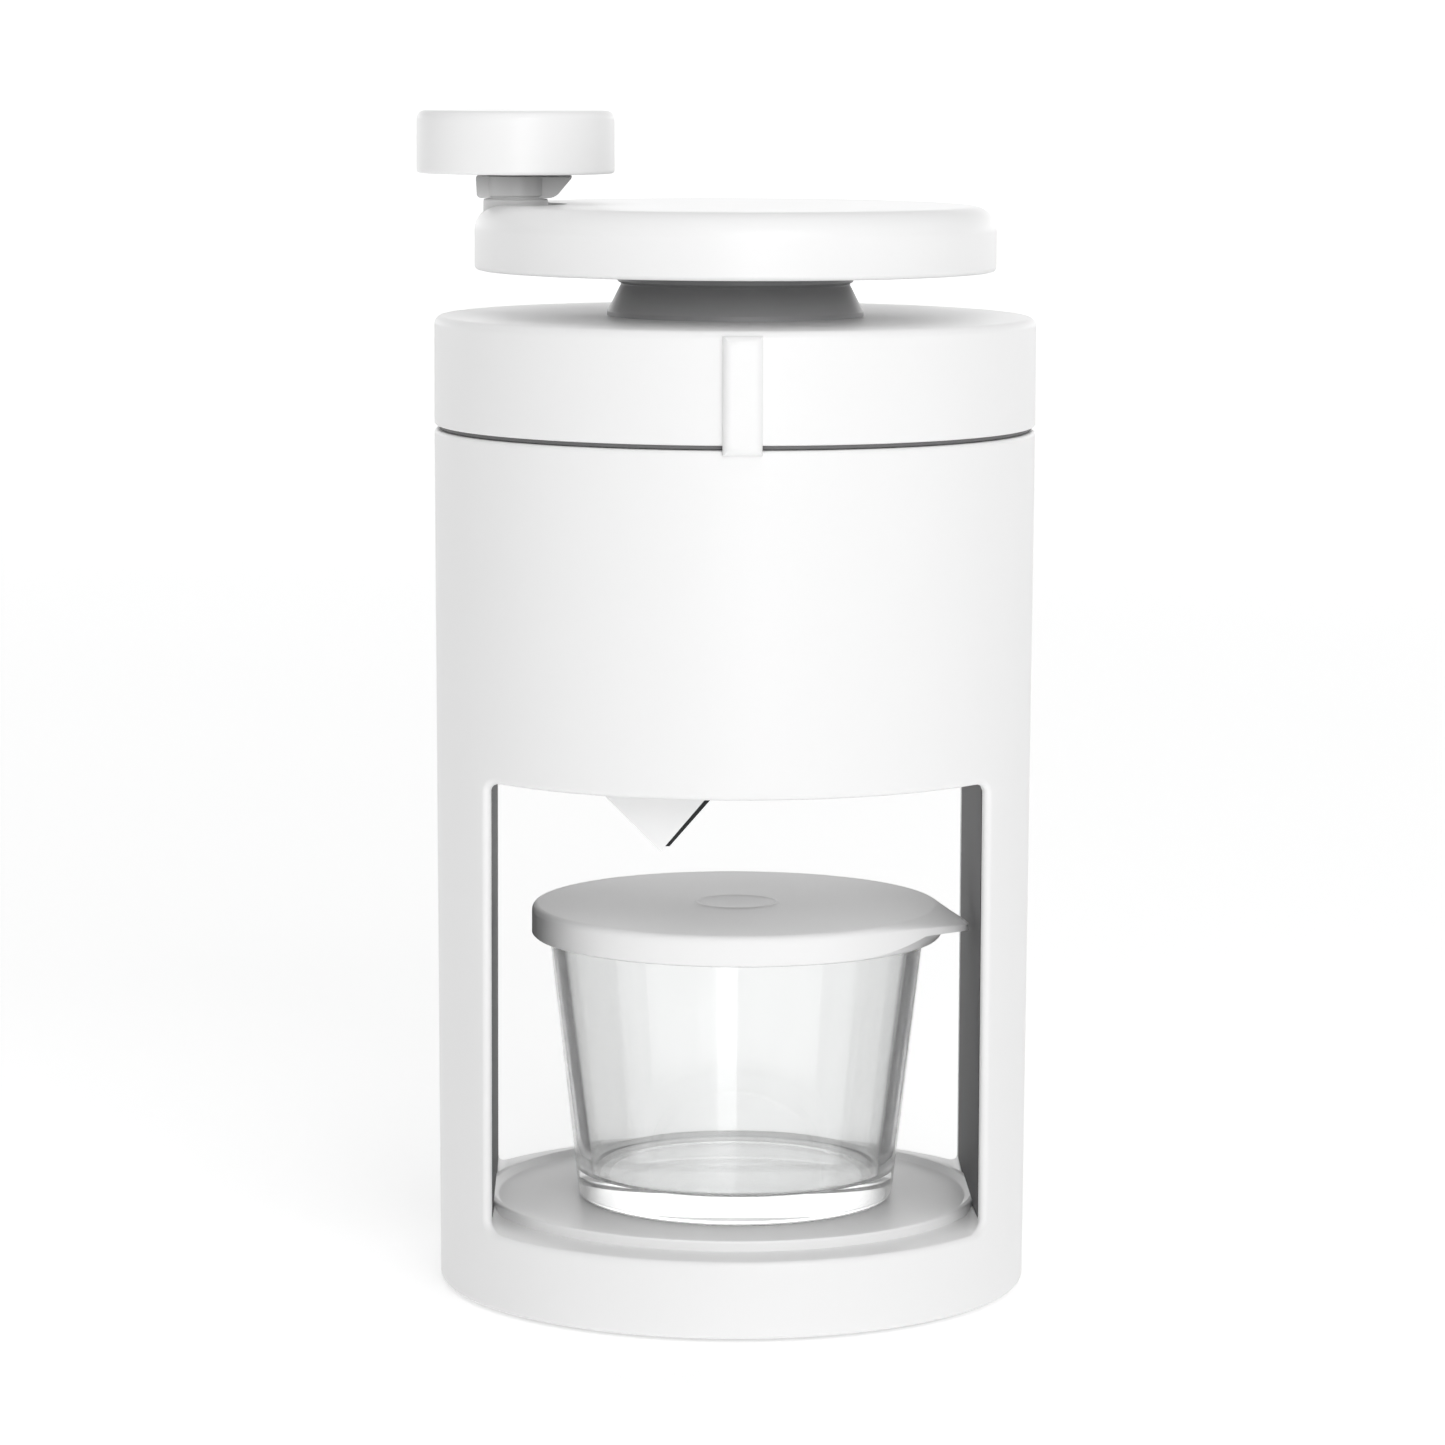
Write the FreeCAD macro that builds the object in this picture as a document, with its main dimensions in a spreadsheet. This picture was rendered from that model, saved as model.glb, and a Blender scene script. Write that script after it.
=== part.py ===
import FreeCAD, Part
import math
import os
import Sketcher
from types import SimpleNamespace

doc = FreeCAD.newDocument("IceShaver")

# ---------------------------------------------------------------- driving dimensions
# Millimetres and degrees. Heights run up from the surface that the shaver stands on.
drivingDimensions = {
    # body
    "padDrop": 0.8, "footDraft": 0.9, "seamRadius": 65.0, "shellWall": 3.2, "hopperDepth": 67.0,
    "deckTop": 17.3, "deckGauge": 2.6, "shelfGauge": 2.4, "shelfWidth": 8.8,
    "pillarDepth": 12.9, "bayCorner": 2.2, "shellEdgeRound": 0.8,
    "linerGauge": 1.6, "linerEndGap": 0.2, "deckDoubler": 1.4, "overrun": 1.0,
    # base
    "plateBottom": 1.0, "plateGauge": 2.6, "padInset": 14.1,
    "bossInset": 5.8, "bossRadius": 3.6, "screwRadius": 1.3, "headRadius": 2.8, "headHeight": 1.2,
    "screwReach": 8.0,
    # tray
    "trayInset": 7.6, "trayRise": 0.8, "trayGauge": 1.6, "lipHeight": 1.4, "lipWidth": 2.0,
    "lipSlopeTop": 0.6, "lipSlopeFoot": 0.8,
    # hopper and blade
    "hopperWall": 2.2, "hopperFloorGauge": 3.0, "hopperTopGap": 0.4, "slideGap": 0.5,
    "wedgeTipX": -16.3, "wedgeGap": 17.3, "wedgeDrop": 16.7, "wedgeLeftX": -33.3, "wedgeNear": 6.0,
    "wedgeLength": 34.0,
    "bladeAngle": 49.0, "bladeGauge": 0.8, "bladeRise": 0.6, "slotWidth": 5.0, "bladeMargin": 1.0,
    "bladeScrewHead": 2.2, "bladeScrewShank": 1.2, "bladeScrewDepth": 5.0, "bladeScrewPitch": 18.0,
    "bladeScrewRise": 6.7, "bladePilotRise": 0.2, "bladeHoleDepth": 3.0, "joinLap": 0.5,
    "keyWidth": 8.0, "keyDepth": 4.0, "keyLap": 2.0,
    # lid
    "seamGap": 1.0, "lidHeight": 23.4, "lidWall": 2.6, "lidRoof": 2.4, "lidEdgeRound": 1.8,
    "ribWidth": 8.6, "ribProud": 1.9, "ribOverhang": 1.0, "ribTopDrop": 0.9,
    "ribEdgeRound": 1.5, "ribStandOff": 0.12,
    "sealInset": 1.0, "sealWidth": 5.0, "sealPlay": 0.1,
    "linerPlate": 2.0, "plugDepth": 8.0, "plugWall": 2.0, "linerBoreGap": 3.0,
    "lidPostCircle": 40.0, "lidPostRadius": 4.0,
    # crank bearing
    "tubeRadius": 8.0, "runningGap": 0.05, "bushWall": 2.1, "bushFlangeWidth": 2.35,
    "bushFlangeGauge": 1.0, "lidHubWall": 3.85, "lidHubDepth": 6.0,
    "collarFoot": 27.7, "collarNeck": 24.6, "collarHeight": 8.5, "collarLip": 1.6,
    "collarFlare": 1.2, "collarFlareRise": 3.2, "collarWaist": 0.5, "collarWaistDrop": 0.9,
    "collarLipProud": 0.9, "collarLipRise": 0.5,
    # crank disc
    "discInset": 8.7, "discGap": 1.3, "discHeight": 14.0, "discWall": 2.4, "discRoof": 2.5,
    "discTopRound": 5.4, "discBottomRound": 1.0, "discHubWall": 4.95, "underplateGauge": 2.0,
    "discHubRecess": 2.0, "underplateInset": 0.2, "underplateHubGap": 0.4, "screwPlay": 0.25,
    "postScrewPlay": 0.1, "postBossWall": 2.5, "seatSkinGauge": 1.6, "seatSkinInset": 1.0,
    "crankScrewCircle": 34.0, "crankPostRadius": 3.6, "tubeEndGap": 0.1, "tubeEndWall": 0.6,
    "clipGrooveLow": 2.4, "clipGrooveHigh": 1.0, "clipSeat": 2.3,
    # knob
    "knobInset": 8.9, "postRadius": 6.45, "pedestalStep": 0.55, "grooveDepth": 0.5, "grooveWidth": 0.6,
    "pedestalRise": 1.1, "postRise": 6.0, "seatDepth": 2.8, "seatGap": 1.2, "spindleRadius": 4.0,
    "spigotRadius": 4.5, "spigotLength": 5.0, "spigotEndGap": 0.2, "postPilotDepth": 8.0,
    "bracketWingTop": 3.95, "bracketWingFoot": 2.25, "bracketShift": 1.6, "bracketHeight": 4.8,
    "bracketThickness": 12.0, "bracketBack": 9.0, "bracketCut": 1.2, "bracketCutTop": 0.4,
    "bracketCutRise": 0.8, "bracketLean": 0.2, "bracketLeanRise": 1.0, "bracketPlay": 0.02,
    "knobHeadRadius": 6.2, "knobHeadGap": 0.05, "knobScrewShortfall": 0.5,
    "knobRadius": 21.35, "knobGap": 0.6, "knobHeight": 13.5, "knobWall": 2.3, "knobRoof": 2.3,
    "knobTopRound": 2.0, "knobBottomRound": 0.8, "knobHubWall": 3.45, "knobBaseGauge": 1.6,
    "knobHubHeight": 8.7, "knobBaseInset": 0.2, "knobBasePlay": 0.1, "knobHubGap": 0.1,
    # presser
    "tubeDrop": 12.0, "hexAcross": 9.0, "hexPlay": 0.15, "plateInset": 2.6, "plateLift": 7.0,
    "plateThickness": 3.4, "plateHubRadius": 9.0, "plateHubHeight": 5.0, "stemOverlap": 14.0,
    "plateHubFlare": 4.0, "stemSeatDepth": 1.0, "stemSeatPlay": 0.04,
    "spikeLength": 4.8, "spikeRadius": 1.8, "spikeTipRadius": 0.4, "spikeRoot": 2.0, "spikeSeatPlay": 0.02,
    "spikeOuterCircle": 44.0, "spikeInnerCircle": 20.0,
    "springOffset": 5.1, "springWire": 1.6, "springTopDrop": 4.0, "springTurns": 9.0,
    "springFootGap": 1.2, "springEndGap": 0.05,
    "clipProud": 3.0, "clipGauge": 1.2, "clipGroove": 1.0, "washerProud": 5.4, "washerGauge": 1.4,
    # bowl
    "bowlShift": 0.8, "coverClear": 7.3, "bowlFootRound": 1.6, "bowlFlare": 6.7, "bowlHeight": 62.9,
    "bowlWall": 2.3, "bowlBase": 6.2, "bowlHeelWall": 3.4, "beadProud": 1.2, "beadHeight": 3.4,
    "beadRamp": 0.8, "bowlCornerRun": 1.1, "bowlCornerRise": 2.2, "bowlCornerInset": 1.2, "bowlLidGap": 0.1,
    "bowlLidWall": 2.2, "bowlLidSkirt": 4.7, "bowlLidRise": 2.0,
    "bowlLidRound": 1.5, "bowlLidGrip": 0.3, "tabProud": 9.0, "tabGauge": 3.0, "tabDrop": 1.8,
    "tabTurn": -20.0, "tabHalfWidth": 13.0,
    "tabLap": 0.6, "tabShoulder": 4.0, "tabTipHalf": 0.8,
}

sheet = doc.addObject("Spreadsheet::Sheet", "dims")
for row, (alias, number) in enumerate(drivingDimensions.items(), start=1):
    sheet.set("A%d" % row, alias)
    sheet.set("B%d" % row, str(number))
    sheet.setAlias("B%d" % row, alias)
doc.recompute()


class Size:
    """A length that keeps its formula, so that features can be bound to the sheet."""

    def __init__(self, text, value):
        self.text = text
        self.value = value

    def combine(self, sign, other, swapped=False):
        if not isinstance(other, Size):
            other = Size(repr(float(other)), float(other))
        left, right = (other, self) if swapped else (self, other)
        results = {
            "+": lambda: left.value + right.value,
            "-": lambda: left.value - right.value,
            "*": lambda: left.value * right.value,
            "/": lambda: left.value / right.value,
        }
        return Size("(%s %s %s)" % (left.text, sign, right.text), results[sign]())

    def __add__(self, other):
        return self.combine("+", other)

    def __radd__(self, other):
        return self.combine("+", other, True)

    def __sub__(self, other):
        return self.combine("-", other)

    def __rsub__(self, other):
        return self.combine("-", other, True)

    def __mul__(self, other):
        return self.combine("*", other)

    def __rmul__(self, other):
        return self.combine("*", other, True)

    def __truediv__(self, other):
        return self.combine("/", other)

    def __rtruediv__(self, other):
        return self.combine("/", other, True)

    def __neg__(self):
        return self.combine("*", -1)


def asSize(number):
    return number if isinstance(number, Size) else Size(repr(float(number)), float(number))


def sine(angle):
    return Size("sin(%s * 1 deg)" % angle.text, math.sin(math.radians(angle.value)))


def cosine(angle):
    return Size("cos(%s * 1 deg)" % angle.text, math.cos(math.radians(angle.value)))


def squareRoot(size):
    return Size("sqrt(%s)" % size.text, math.sqrt(size.value))


dim = SimpleNamespace(**{alias: Size("dims." + alias, float(sheet.get(alias)))
                         for alias in drivingDimensions})

# radii that follow from the driving ones
footRadius = dim.seamRadius - dim.footDraft
shellBore = dim.seamRadius - dim.shellWall
shelfBore = shellBore - dim.shelfWidth
bayHalfWidth = dim.seamRadius - dim.pillarDepth
padRadius = footRadius - dim.padInset
bossCircle = shellBore - dim.bossInset
trayRadius = shellBore - dim.trayInset
hopperRadius = shellBore - dim.slideGap
hopperBore = hopperRadius - dim.hopperWall
linerRadius = dim.seamRadius - dim.lidWall
plugRadius = hopperBore - dim.slideGap
plateRadius = hopperBore - dim.plateInset
discRadius = dim.seamRadius - dim.discInset
knobOffset = discRadius - dim.knobInset
bushRadius = dim.tubeRadius + dim.runningGap + dim.bushWall
bushFlange = bushRadius + dim.bushFlangeWidth
lidHubRadius = bushRadius + dim.lidHubWall
linerBore = lidHubRadius + dim.linerBoreGap
discHubRadius = dim.tubeRadius + dim.runningGap + dim.discHubWall
clipRadius = dim.tubeRadius + dim.clipProud
washerRadius = dim.tubeRadius + dim.washerProud
springMeanRadius = dim.tubeRadius + dim.springOffset
pedestalRadius = dim.postRadius + dim.pedestalStep
seatRadius = pedestalRadius + dim.seatGap
bracketHalfTop = dim.postRadius + dim.bracketWingTop
bracketHalfBottom = dim.postRadius + dim.bracketWingFoot
knobHubRadius = dim.spindleRadius + dim.runningGap + dim.knobHubWall
bowlLidRadius = bayHalfWidth - dim.coverClear
tabReach = bowlLidRadius + dim.tabProud
gripRadius = bowlLidRadius - dim.bowlLidWall
beadRadius = gripRadius - dim.bowlLidGrip
bowlRimRadius = beadRadius - dim.beadProud
bowlFootRadius = bowlRimRadius - dim.bowlFlare
bowlInnerFoot = bowlFootRadius - dim.bowlHeelWall

# heights, from the deck up
deckBottom = dim.deckTop - dim.deckGauge
trayFloor = dim.deckTop + dim.trayRise
bowlRim = trayFloor + dim.bowlHeight
bowlLidBottom = bowlRim - dim.bowlLidSkirt
bowlLidTop = bowlRim + dim.bowlLidRise
tabHeight = bowlRim - dim.tabDrop
wedgeTipHeight = bowlLidTop + dim.wedgeGap
bladeScrewHeight = wedgeTipHeight + dim.bladeScrewRise
shelfTop = wedgeTipHeight + dim.wedgeDrop
wedgeRightX = dim.wedgeTipX + dim.wedgeDrop * cosine(dim.bladeAngle) / sine(dim.bladeAngle)
bayTop = shelfTop - dim.shelfGauge
hopperFloor = shelfTop + dim.hopperFloorGauge
plateBottomHeight = hopperFloor + dim.plateLift
shellTop = hopperFloor + dim.hopperDepth
hopperTop = shellTop - dim.hopperTopGap
lidBottom = shellTop + dim.seamGap
tubeBottom = lidBottom - dim.tubeDrop
stemTop = tubeBottom + dim.stemOverlap
lidTop = lidBottom + dim.lidHeight
lidCeiling = lidTop - dim.lidRoof
hubBottom = lidCeiling - dim.lidHubDepth
springTop = hubBottom - dim.springTopDrop
collarTop = lidTop + dim.collarHeight
discBottom = collarTop + dim.discGap
discTop = discBottom + dim.discHeight
discCeiling = discTop - dim.discRoof
underplateBottom = discBottom + dim.underplateInset
pedestalTop = discTop + dim.pedestalRise
postTop = discTop + dim.postRise
knobBottom = postTop + dim.knobGap
knobBaseBottom = knobBottom + dim.knobBaseInset
knobHubTop = knobBottom + dim.knobHubHeight
knobTop = knobBottom + dim.knobHeight

pieces = []


# ---------------------------------------------------------------- helpers
def bind(item, path, size):
    item.setExpression(path, asSize(size).text)


def place(item, x=0, y=0, z=0):
    for axis, size in (("x", x), ("y", y), ("z", z)):
        bind(item, "Placement.Base." + axis, size)
    return item


def keep(item, label):
    item.Label = label
    pieces.append(item)
    return item


def planeOf(body, role):
    return next(plane for plane in body.Origin.OriginFeatures if plane.Role == role)


def outline(body, role, points, offset=0):
    """Closed polygon whose corners are pinned to the sheet."""
    sketch = body.newObject("Sketcher::SketchObject", body.Name + "Outline")
    sketch.AttachmentSupport = [(planeOf(body, role), "")]
    sketch.MapMode = "FlatFace"
    bind(sketch, "AttachmentOffset.Base.z", offset)
    corners = [(asSize(u), asSize(v)) for u, v in points]
    for index, (u, v) in enumerate(corners):
        nextU, nextV = corners[(index + 1) % len(corners)]
        start = FreeCAD.Vector(u.value, v.value, 0)
        sketch.addGeometry(Part.LineSegment(start, FreeCAD.Vector(nextU.value, nextV.value, 0)), False)
    for index, (u, v) in enumerate(corners):
        sketch.addConstraint(Sketcher.Constraint("Coincident", index, 2, (index + 1) % len(corners), 1))
    for index, (u, v) in enumerate(corners):
        for kind, axis, size in (("DistanceX", -2, u), ("DistanceY", -1, v)):
            if size.value == 0:
                sketch.addConstraint(Sketcher.Constraint("PointOnObject", index, 1, axis))
                continue
            number = sketch.addConstraint(Sketcher.Constraint(kind, -1, 1, index, 1, size.value))
            bind(sketch, "Constraints[%d]" % number, size)
    return sketch


def newBody(name):
    return doc.addObject("PartDesign::Body", name)


def turned(name, points):
    """Solid of revolution about Z from (radius, height) corners."""
    body = newBody(name)
    sketch = outline(body, "XZ_Plane", points)
    feature = body.newObject("PartDesign::Revolution", name + "Turn")
    feature.Profile = sketch
    feature.ReferenceAxis = (sketch, ["V_Axis"])
    feature.Angle = 360
    body.Tip = feature
    return body


def padded(name, role, points, length, offset=0):
    body = newBody(name)
    sketch = outline(body, role, points, offset)
    feature = body.newObject("PartDesign::Pad", name + "Pad")
    feature.Profile = sketch
    bind(feature, "Length", length)
    body.Tip = feature
    return body


def cylinder(name, radius, bottom, height, x=0, y=0):
    item = doc.addObject("Part::Cylinder", name)
    bind(item, "Radius", radius)
    bind(item, "Height", height)
    return place(item, x, y, bottom)


def cone(name, lowRadius, highRadius, bottom, height, x=0, y=0):
    item = doc.addObject("Part::Cone", name)
    bind(item, "Radius1", lowRadius)
    bind(item, "Radius2", highRadius)
    bind(item, "Height", height)
    return place(item, x, y, bottom)


def block(name, lengthX, lengthY, lengthZ, x, y, z):
    item = doc.addObject("Part::Box", name)
    bind(item, "Length", lengthX)
    bind(item, "Width", lengthY)
    bind(item, "Height", lengthZ)
    return place(item, x, y, z)


def hexagon(name, across, bottom, height):
    item = doc.addObject("Part::Prism", name)
    item.Polygon = 6
    bind(item, "Circumradius", asSize(across) / math.sqrt(3))
    bind(item, "Height", height)
    return place(item, 0, 0, bottom)


def joined(name, parts):
    item = doc.addObject("Part::MultiFuse", name)
    item.Shapes = parts
    item.Refine = True
    return item


def grouped(name, parts):
    item = doc.addObject("Part::Compound", name)
    item.Links = parts
    return item


def cutFrom(name, base, tools):
    item = doc.addObject("Part::Cut", name)
    item.Base = base
    item.Tool = tools[0] if len(tools) == 1 else joined(name + "Tools", tools)
    item.Refine = True
    return item


def rounded(name, base, radius, wanted):
    """Part::Fillet on the edges of base that wanted(edge) picks."""
    doc.recompute()
    item = doc.addObject("Part::Fillet", name)
    item.Base = base
    item.Edges = [(index, radius.value, radius.value)
                  for index, edge in enumerate(base.Shape.Edges, start=1) if wanted(edge)]
    return item


def isRing(edge, radius, height):
    if not isinstance(edge.Curve, Part.Circle):
        return False
    return abs(edge.Curve.Radius - radius.value) < 1e-3 and abs(edge.Curve.Center.z - height.value) < 1e-3


def ringPlaces(count, circle, firstAngle=0):
    """Evenly spaced (x, y) sizes on a circle about Z."""
    angles = [math.radians(firstAngle + 360 / count * index) for index in range(count)]
    return [(circle * math.cos(angle), circle * math.sin(angle)) for angle in angles]


bossPlaces = ringPlaces(4, bossCircle, 45)
lidPostPlaces = ringPlaces(4, dim.lidPostCircle, 45)
crankScrewPlaces = ringPlaces(3, dim.crankScrewCircle, 60)
spikePlaces = ringPlaces(8, dim.spikeOuterCircle, 22.5) + ringPlaces(4, dim.spikeInnerCircle, 45)

# ---------------------------------------------------------------- body
trayBottom = trayFloor - dim.trayGauge
trayPocketRadius = trayRadius + dim.runningGap
tube = turned("shellTube", [
    (shellBore, dim.padDrop), (footRadius, dim.padDrop), (dim.seamRadius, shellTop),
    (shellBore, shellTop), (shellBore, shelfTop), (shelfBore, shelfTop),
    (shelfBore, bayTop), (shellBore, bayTop), (shellBore, dim.deckTop),
    (trayPocketRadius, dim.deckTop), (trayPocketRadius, trayBottom), (0, trayBottom),
    (0, deckBottom - dim.deckDoubler), (shellBore, deckBottom - dim.deckDoubler)])
bosses = [cylinder("boss%d" % index, dim.bossRadius, dim.plateBottom + dim.plateGauge,
                   deckBottom - dim.plateBottom - dim.plateGauge, x, y)
          for index, (x, y) in enumerate(bossPlaces)]
bay = block("bayBlock", 2 * bayHalfWidth, 4 * dim.seamRadius, bayTop - dim.deckTop,
            -bayHalfWidth, -2 * dim.seamRadius, dim.deckTop)
bayRounded = rounded("bay", bay, dim.bayCorner, lambda edge: abs(edge.tangentAt(edge.FirstParameter).y) > 0.9)
pilots = [cylinder("pilot%d" % index, dim.screwRadius, dim.plateBottom,
                   dim.screwReach + dim.headHeight + dim.overrun, x, y)
          for index, (x, y) in enumerate(bossPlaces)]
keyPlay = dim.slideGap
shelfKeys = [block("shelfNotch%d" % index, dim.keyDepth + 2 * keyPlay, dim.keyWidth + 2 * keyPlay,
                   dim.shelfGauge + 2 * dim.overrun, x - keyPlay, -dim.keyWidth / 2 - keyPlay,
                   bayTop - dim.overrun)
             for index, x in enumerate((shelfBore, -shelfBore - dim.keyDepth))]
shellCut = cutFrom("shellCut", joined("shellAndBosses", [tube] + bosses), [bayRounded] + pilots + shelfKeys)

keep(rounded("shellRounding", shellCut, dim.shellEdgeRound,
             lambda edge: isRing(edge, dim.seamRadius, shellTop)
             or isRing(edge, footRadius, dim.padDrop)), "body_shell")

for side, label in ((-1, "pillar_liner_left"), (1, "pillar_liner_right")):
    linerHalf = squareRoot(shellBore * shellBore - (bayHalfWidth + dim.linerGauge)
                           * (bayHalfWidth + dim.linerGauge)) - dim.linerEndGap
    lowX = bayHalfWidth if side > 0 else -bayHalfWidth - dim.linerGauge
    plate = block(label + "Plate", dim.linerGauge, 2 * linerHalf, bayTop - dim.deckTop,
                  lowX, -linerHalf, dim.deckTop)
    trayRelief = cylinder(label + "Relief", trayPocketRadius, trayBottom,
                          dim.trayGauge + dim.lipHeight + dim.sealPlay)
    keep(cutFrom(label, plate, [trayRelief]), label)

trayInner = trayRadius - dim.lipWidth
keep(turned("bowlTray", [
    (0, trayBottom), (trayRadius, trayBottom), (trayRadius, trayFloor + dim.lipHeight),
    (trayInner + dim.lipSlopeTop, trayFloor + dim.lipHeight), (trayInner - dim.lipSlopeFoot, trayFloor),
    (0, trayFloor)]),
    "bowl_tray")

plateHoles = [cylinder("plateHole%d" % index, dim.screwRadius + dim.slideGap / 2,
                       dim.plateBottom - dim.overrun, dim.plateGauge + 2 * dim.overrun, x, y)
              for index, (x, y) in enumerate(bossPlaces)]
plateSinks = [cylinder("plateSink%d" % index, dim.headRadius + dim.slideGap / 2,
                       dim.plateBottom - dim.overrun, dim.headHeight + dim.overrun, x, y)
              for index, (x, y) in enumerate(bossPlaces)]
plateDisc = cylinder("plateDisc", shellBore - dim.slideGap / 2, dim.plateBottom, dim.plateGauge)
keep(cutFrom("basePlate", plateDisc, plateHoles + plateSinks), "base_plate")
keep(cylinder("footPad", padRadius, 0, dim.plateBottom), "foot_pad")


def screwSet(name, places, headBottom, headUp=False, headRadius=dim.headRadius, reach=dim.screwReach,
             shank=dim.screwRadius):
    """Pan-head screws as one group; heads below their shanks unless headUp."""
    screws = []
    for index, (x, y) in enumerate(places):
        shankBottom = headBottom - reach if headUp else headBottom + dim.headHeight
        head = cylinder("%sHead%d" % (name, index), headRadius, headBottom, dim.headHeight, x, y)
        rod = cylinder("%sRod%d" % (name, index), shank - dim.runningGap, shankBottom, reach, x, y)
        screws.append(joined("%sScrew%d" % (name, index), [head, rod]))
    return screws[0] if len(screws) == 1 else grouped(name, screws)


keep(screwSet("baseScrews", bossPlaces, dim.plateBottom), "base_screws")

# ---------------------------------------------------------------- hopper and blade
drum = turned("hopperDrum", [(0, shelfTop), (hopperRadius, shelfTop), (hopperRadius, hopperTop),
                             (hopperBore, hopperTop), (hopperBore, hopperFloor), (0, hopperFloor)])
wedge = padded("hopperWedge", "XZ_Plane", [
    (dim.wedgeTipX, wedgeTipHeight), (wedgeRightX, shelfTop + dim.joinLap),
    (dim.wedgeLeftX, shelfTop + dim.joinLap)],
    dim.wedgeLength, dim.wedgeNear)


def onSlope(height):
    """X of the wedge's right face at a height."""
    return dim.wedgeTipX + (height - wedgeTipHeight) * cosine(dim.bladeAngle) / sine(dim.bladeAngle)


bladeLevel = dim.bladeGauge / sine(dim.bladeAngle)
slotLow = shelfTop - dim.joinLap
slotHigh = hopperFloor + dim.overrun
slot = padded("bladeSlot", "XZ_Plane", [
    (onSlope(slotLow), slotLow), (onSlope(slotLow) + dim.slotWidth, slotLow),
    (onSlope(slotHigh) + dim.slotWidth, slotHigh), (onSlope(slotHigh), slotHigh)],
    dim.wedgeLength + 2 * dim.joinLap, dim.wedgeNear - dim.joinLap)
screwY = [-dim.wedgeNear - dim.wedgeLength / 2 + side * dim.bladeScrewPitch / 2 for side in (-1, 1)]


def slopePin(name, radius, length, y, outward):
    """Cylinder square to the blade, starting outward of its face and running into the wedge."""
    item = doc.addObject("Part::Cylinder", name)
    bind(item, "Radius", radius)
    bind(item, "Height", length)
    item.Placement.Rotation = FreeCAD.Rotation(FreeCAD.Vector(0, 1, 0), -dim.bladeAngle.value)
    item.setExpression("Placement.Rotation.Angle", "%s * 1 deg" % dim.bladeAngle.text)
    item.Placement.Rotation.Axis = FreeCAD.Vector(0, -1, 0)
    faceX = onSlope(bladeScrewHeight) + bladeLevel
    return place(item, faceX + outward * sine(dim.bladeAngle), y,
                 bladeScrewHeight - outward * cosine(dim.bladeAngle))


wedgePilots = [slopePin("wedgePilot%d" % index, dim.bladeScrewShank, dim.bladeScrewDepth + dim.overrun, y,
                        dim.bladePilotRise)
               for index, y in enumerate(screwY)]
hopperKeys = [block("hopperKey%d" % index, dim.keyDepth, dim.keyWidth, dim.shelfGauge + dim.joinLap,
                    x, -dim.keyWidth / 2, bayTop)
              for index, x in enumerate((shelfBore, -shelfBore - dim.keyDepth))]
lidNotches = [block("lidNotch%d" % index, dim.hopperWall + 2 * dim.overrun, dim.keyWidth + 2 * keyPlay,
                    dim.keyDepth + dim.overrun, x, -dim.keyWidth / 2 - keyPlay, hopperTop - dim.keyDepth)
              for index, x in enumerate((hopperBore - dim.overrun, -hopperRadius - dim.overrun))]
keep(cutFrom("iceHopper", joined("hopperSolid", [drum, wedge] + hopperKeys),
             [slot] + wedgePilots + lidNotches), "ice_hopper")

bladeLow = wedgeTipHeight + dim.bladeMargin
bladeHigh = hopperFloor + dim.bladeRise
bladeStrip = padded("bladeStrip", "XZ_Plane", [
    (onSlope(bladeLow), bladeLow), (onSlope(bladeLow) + bladeLevel, bladeLow),
    (onSlope(bladeHigh) + bladeLevel, bladeHigh), (onSlope(bladeHigh), bladeHigh)],
    dim.wedgeLength - 2 * dim.bladeMargin, dim.wedgeNear + dim.bladeMargin)
bladeHoles = [slopePin("bladeHole%d" % index, dim.bladeScrewHead + dim.runningGap, dim.bladeHoleDepth, y,
                       dim.overrun)
              for index, y in enumerate(screwY)]
keep(cutFrom("bladeCut", bladeStrip, bladeHoles), "blade")
bladeScrews = []
for index, y in enumerate(screwY):
    head = slopePin("bladeHead%d" % index, dim.bladeScrewHead, dim.bladeGauge - dim.runningGap, y,
                    asSize(0))
    rod = slopePin("bladeRod%d" % index, dim.bladeScrewShank - dim.runningGap, dim.bladeScrewDepth, y,
                   asSize(0))
    bladeScrews.append(joined("bladeScrew%d" % index, [head, rod]))
keep(grouped("bladeScrews", bladeScrews), "blade_screws")

# ---------------------------------------------------------------- lid
lidCup = turned("lidCup", [
    (dim.seamRadius, lidBottom), (dim.seamRadius, lidTop), (bushRadius, lidTop),
    (bushRadius, hubBottom), (lidHubRadius, hubBottom), (lidHubRadius, lidCeiling),
    (linerRadius, lidCeiling), (linerRadius, lidBottom)])
lidRounded = rounded("lidRounded", lidCup, dim.lidEdgeRound,
                     lambda edge: isRing(edge, dim.seamRadius, lidTop))
ribLow = lidBottom - dim.seamGap - dim.ribOverhang
ribHigh = lidTop - dim.ribTopDrop
ribFront = -dim.seamRadius - dim.ribProud
ribBar = block("ribBar", dim.ribWidth, dim.lidWall + dim.ribProud, ribHigh - ribLow,
               -dim.ribWidth / 2, ribFront, ribLow)
ribShadow = cylinder("ribShadow", dim.seamRadius + dim.ribStandOff, ribLow - dim.overrun,
                     lidBottom - ribLow + dim.overrun)
ribCore = cylinder("ribCore", linerRadius, ribLow - dim.overrun, ribHigh - ribLow + 2 * dim.overrun)
ribRound = rounded("ribRound", ribBar, dim.ribEdgeRound,
                   lambda edge: abs(edge.BoundBox.YMax - ribFront.value) < 1e-3)
rib = cutFrom("rib", ribRound, [ribShadow, ribCore])
lidPosts = [cylinder("lidPost%d" % index, dim.lidPostRadius, lidBottom + dim.linerPlate,
                     lidCeiling - lidBottom - dim.linerPlate + dim.joinLap, x, y)
            for index, (x, y) in enumerate(lidPostPlaces)]
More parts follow.
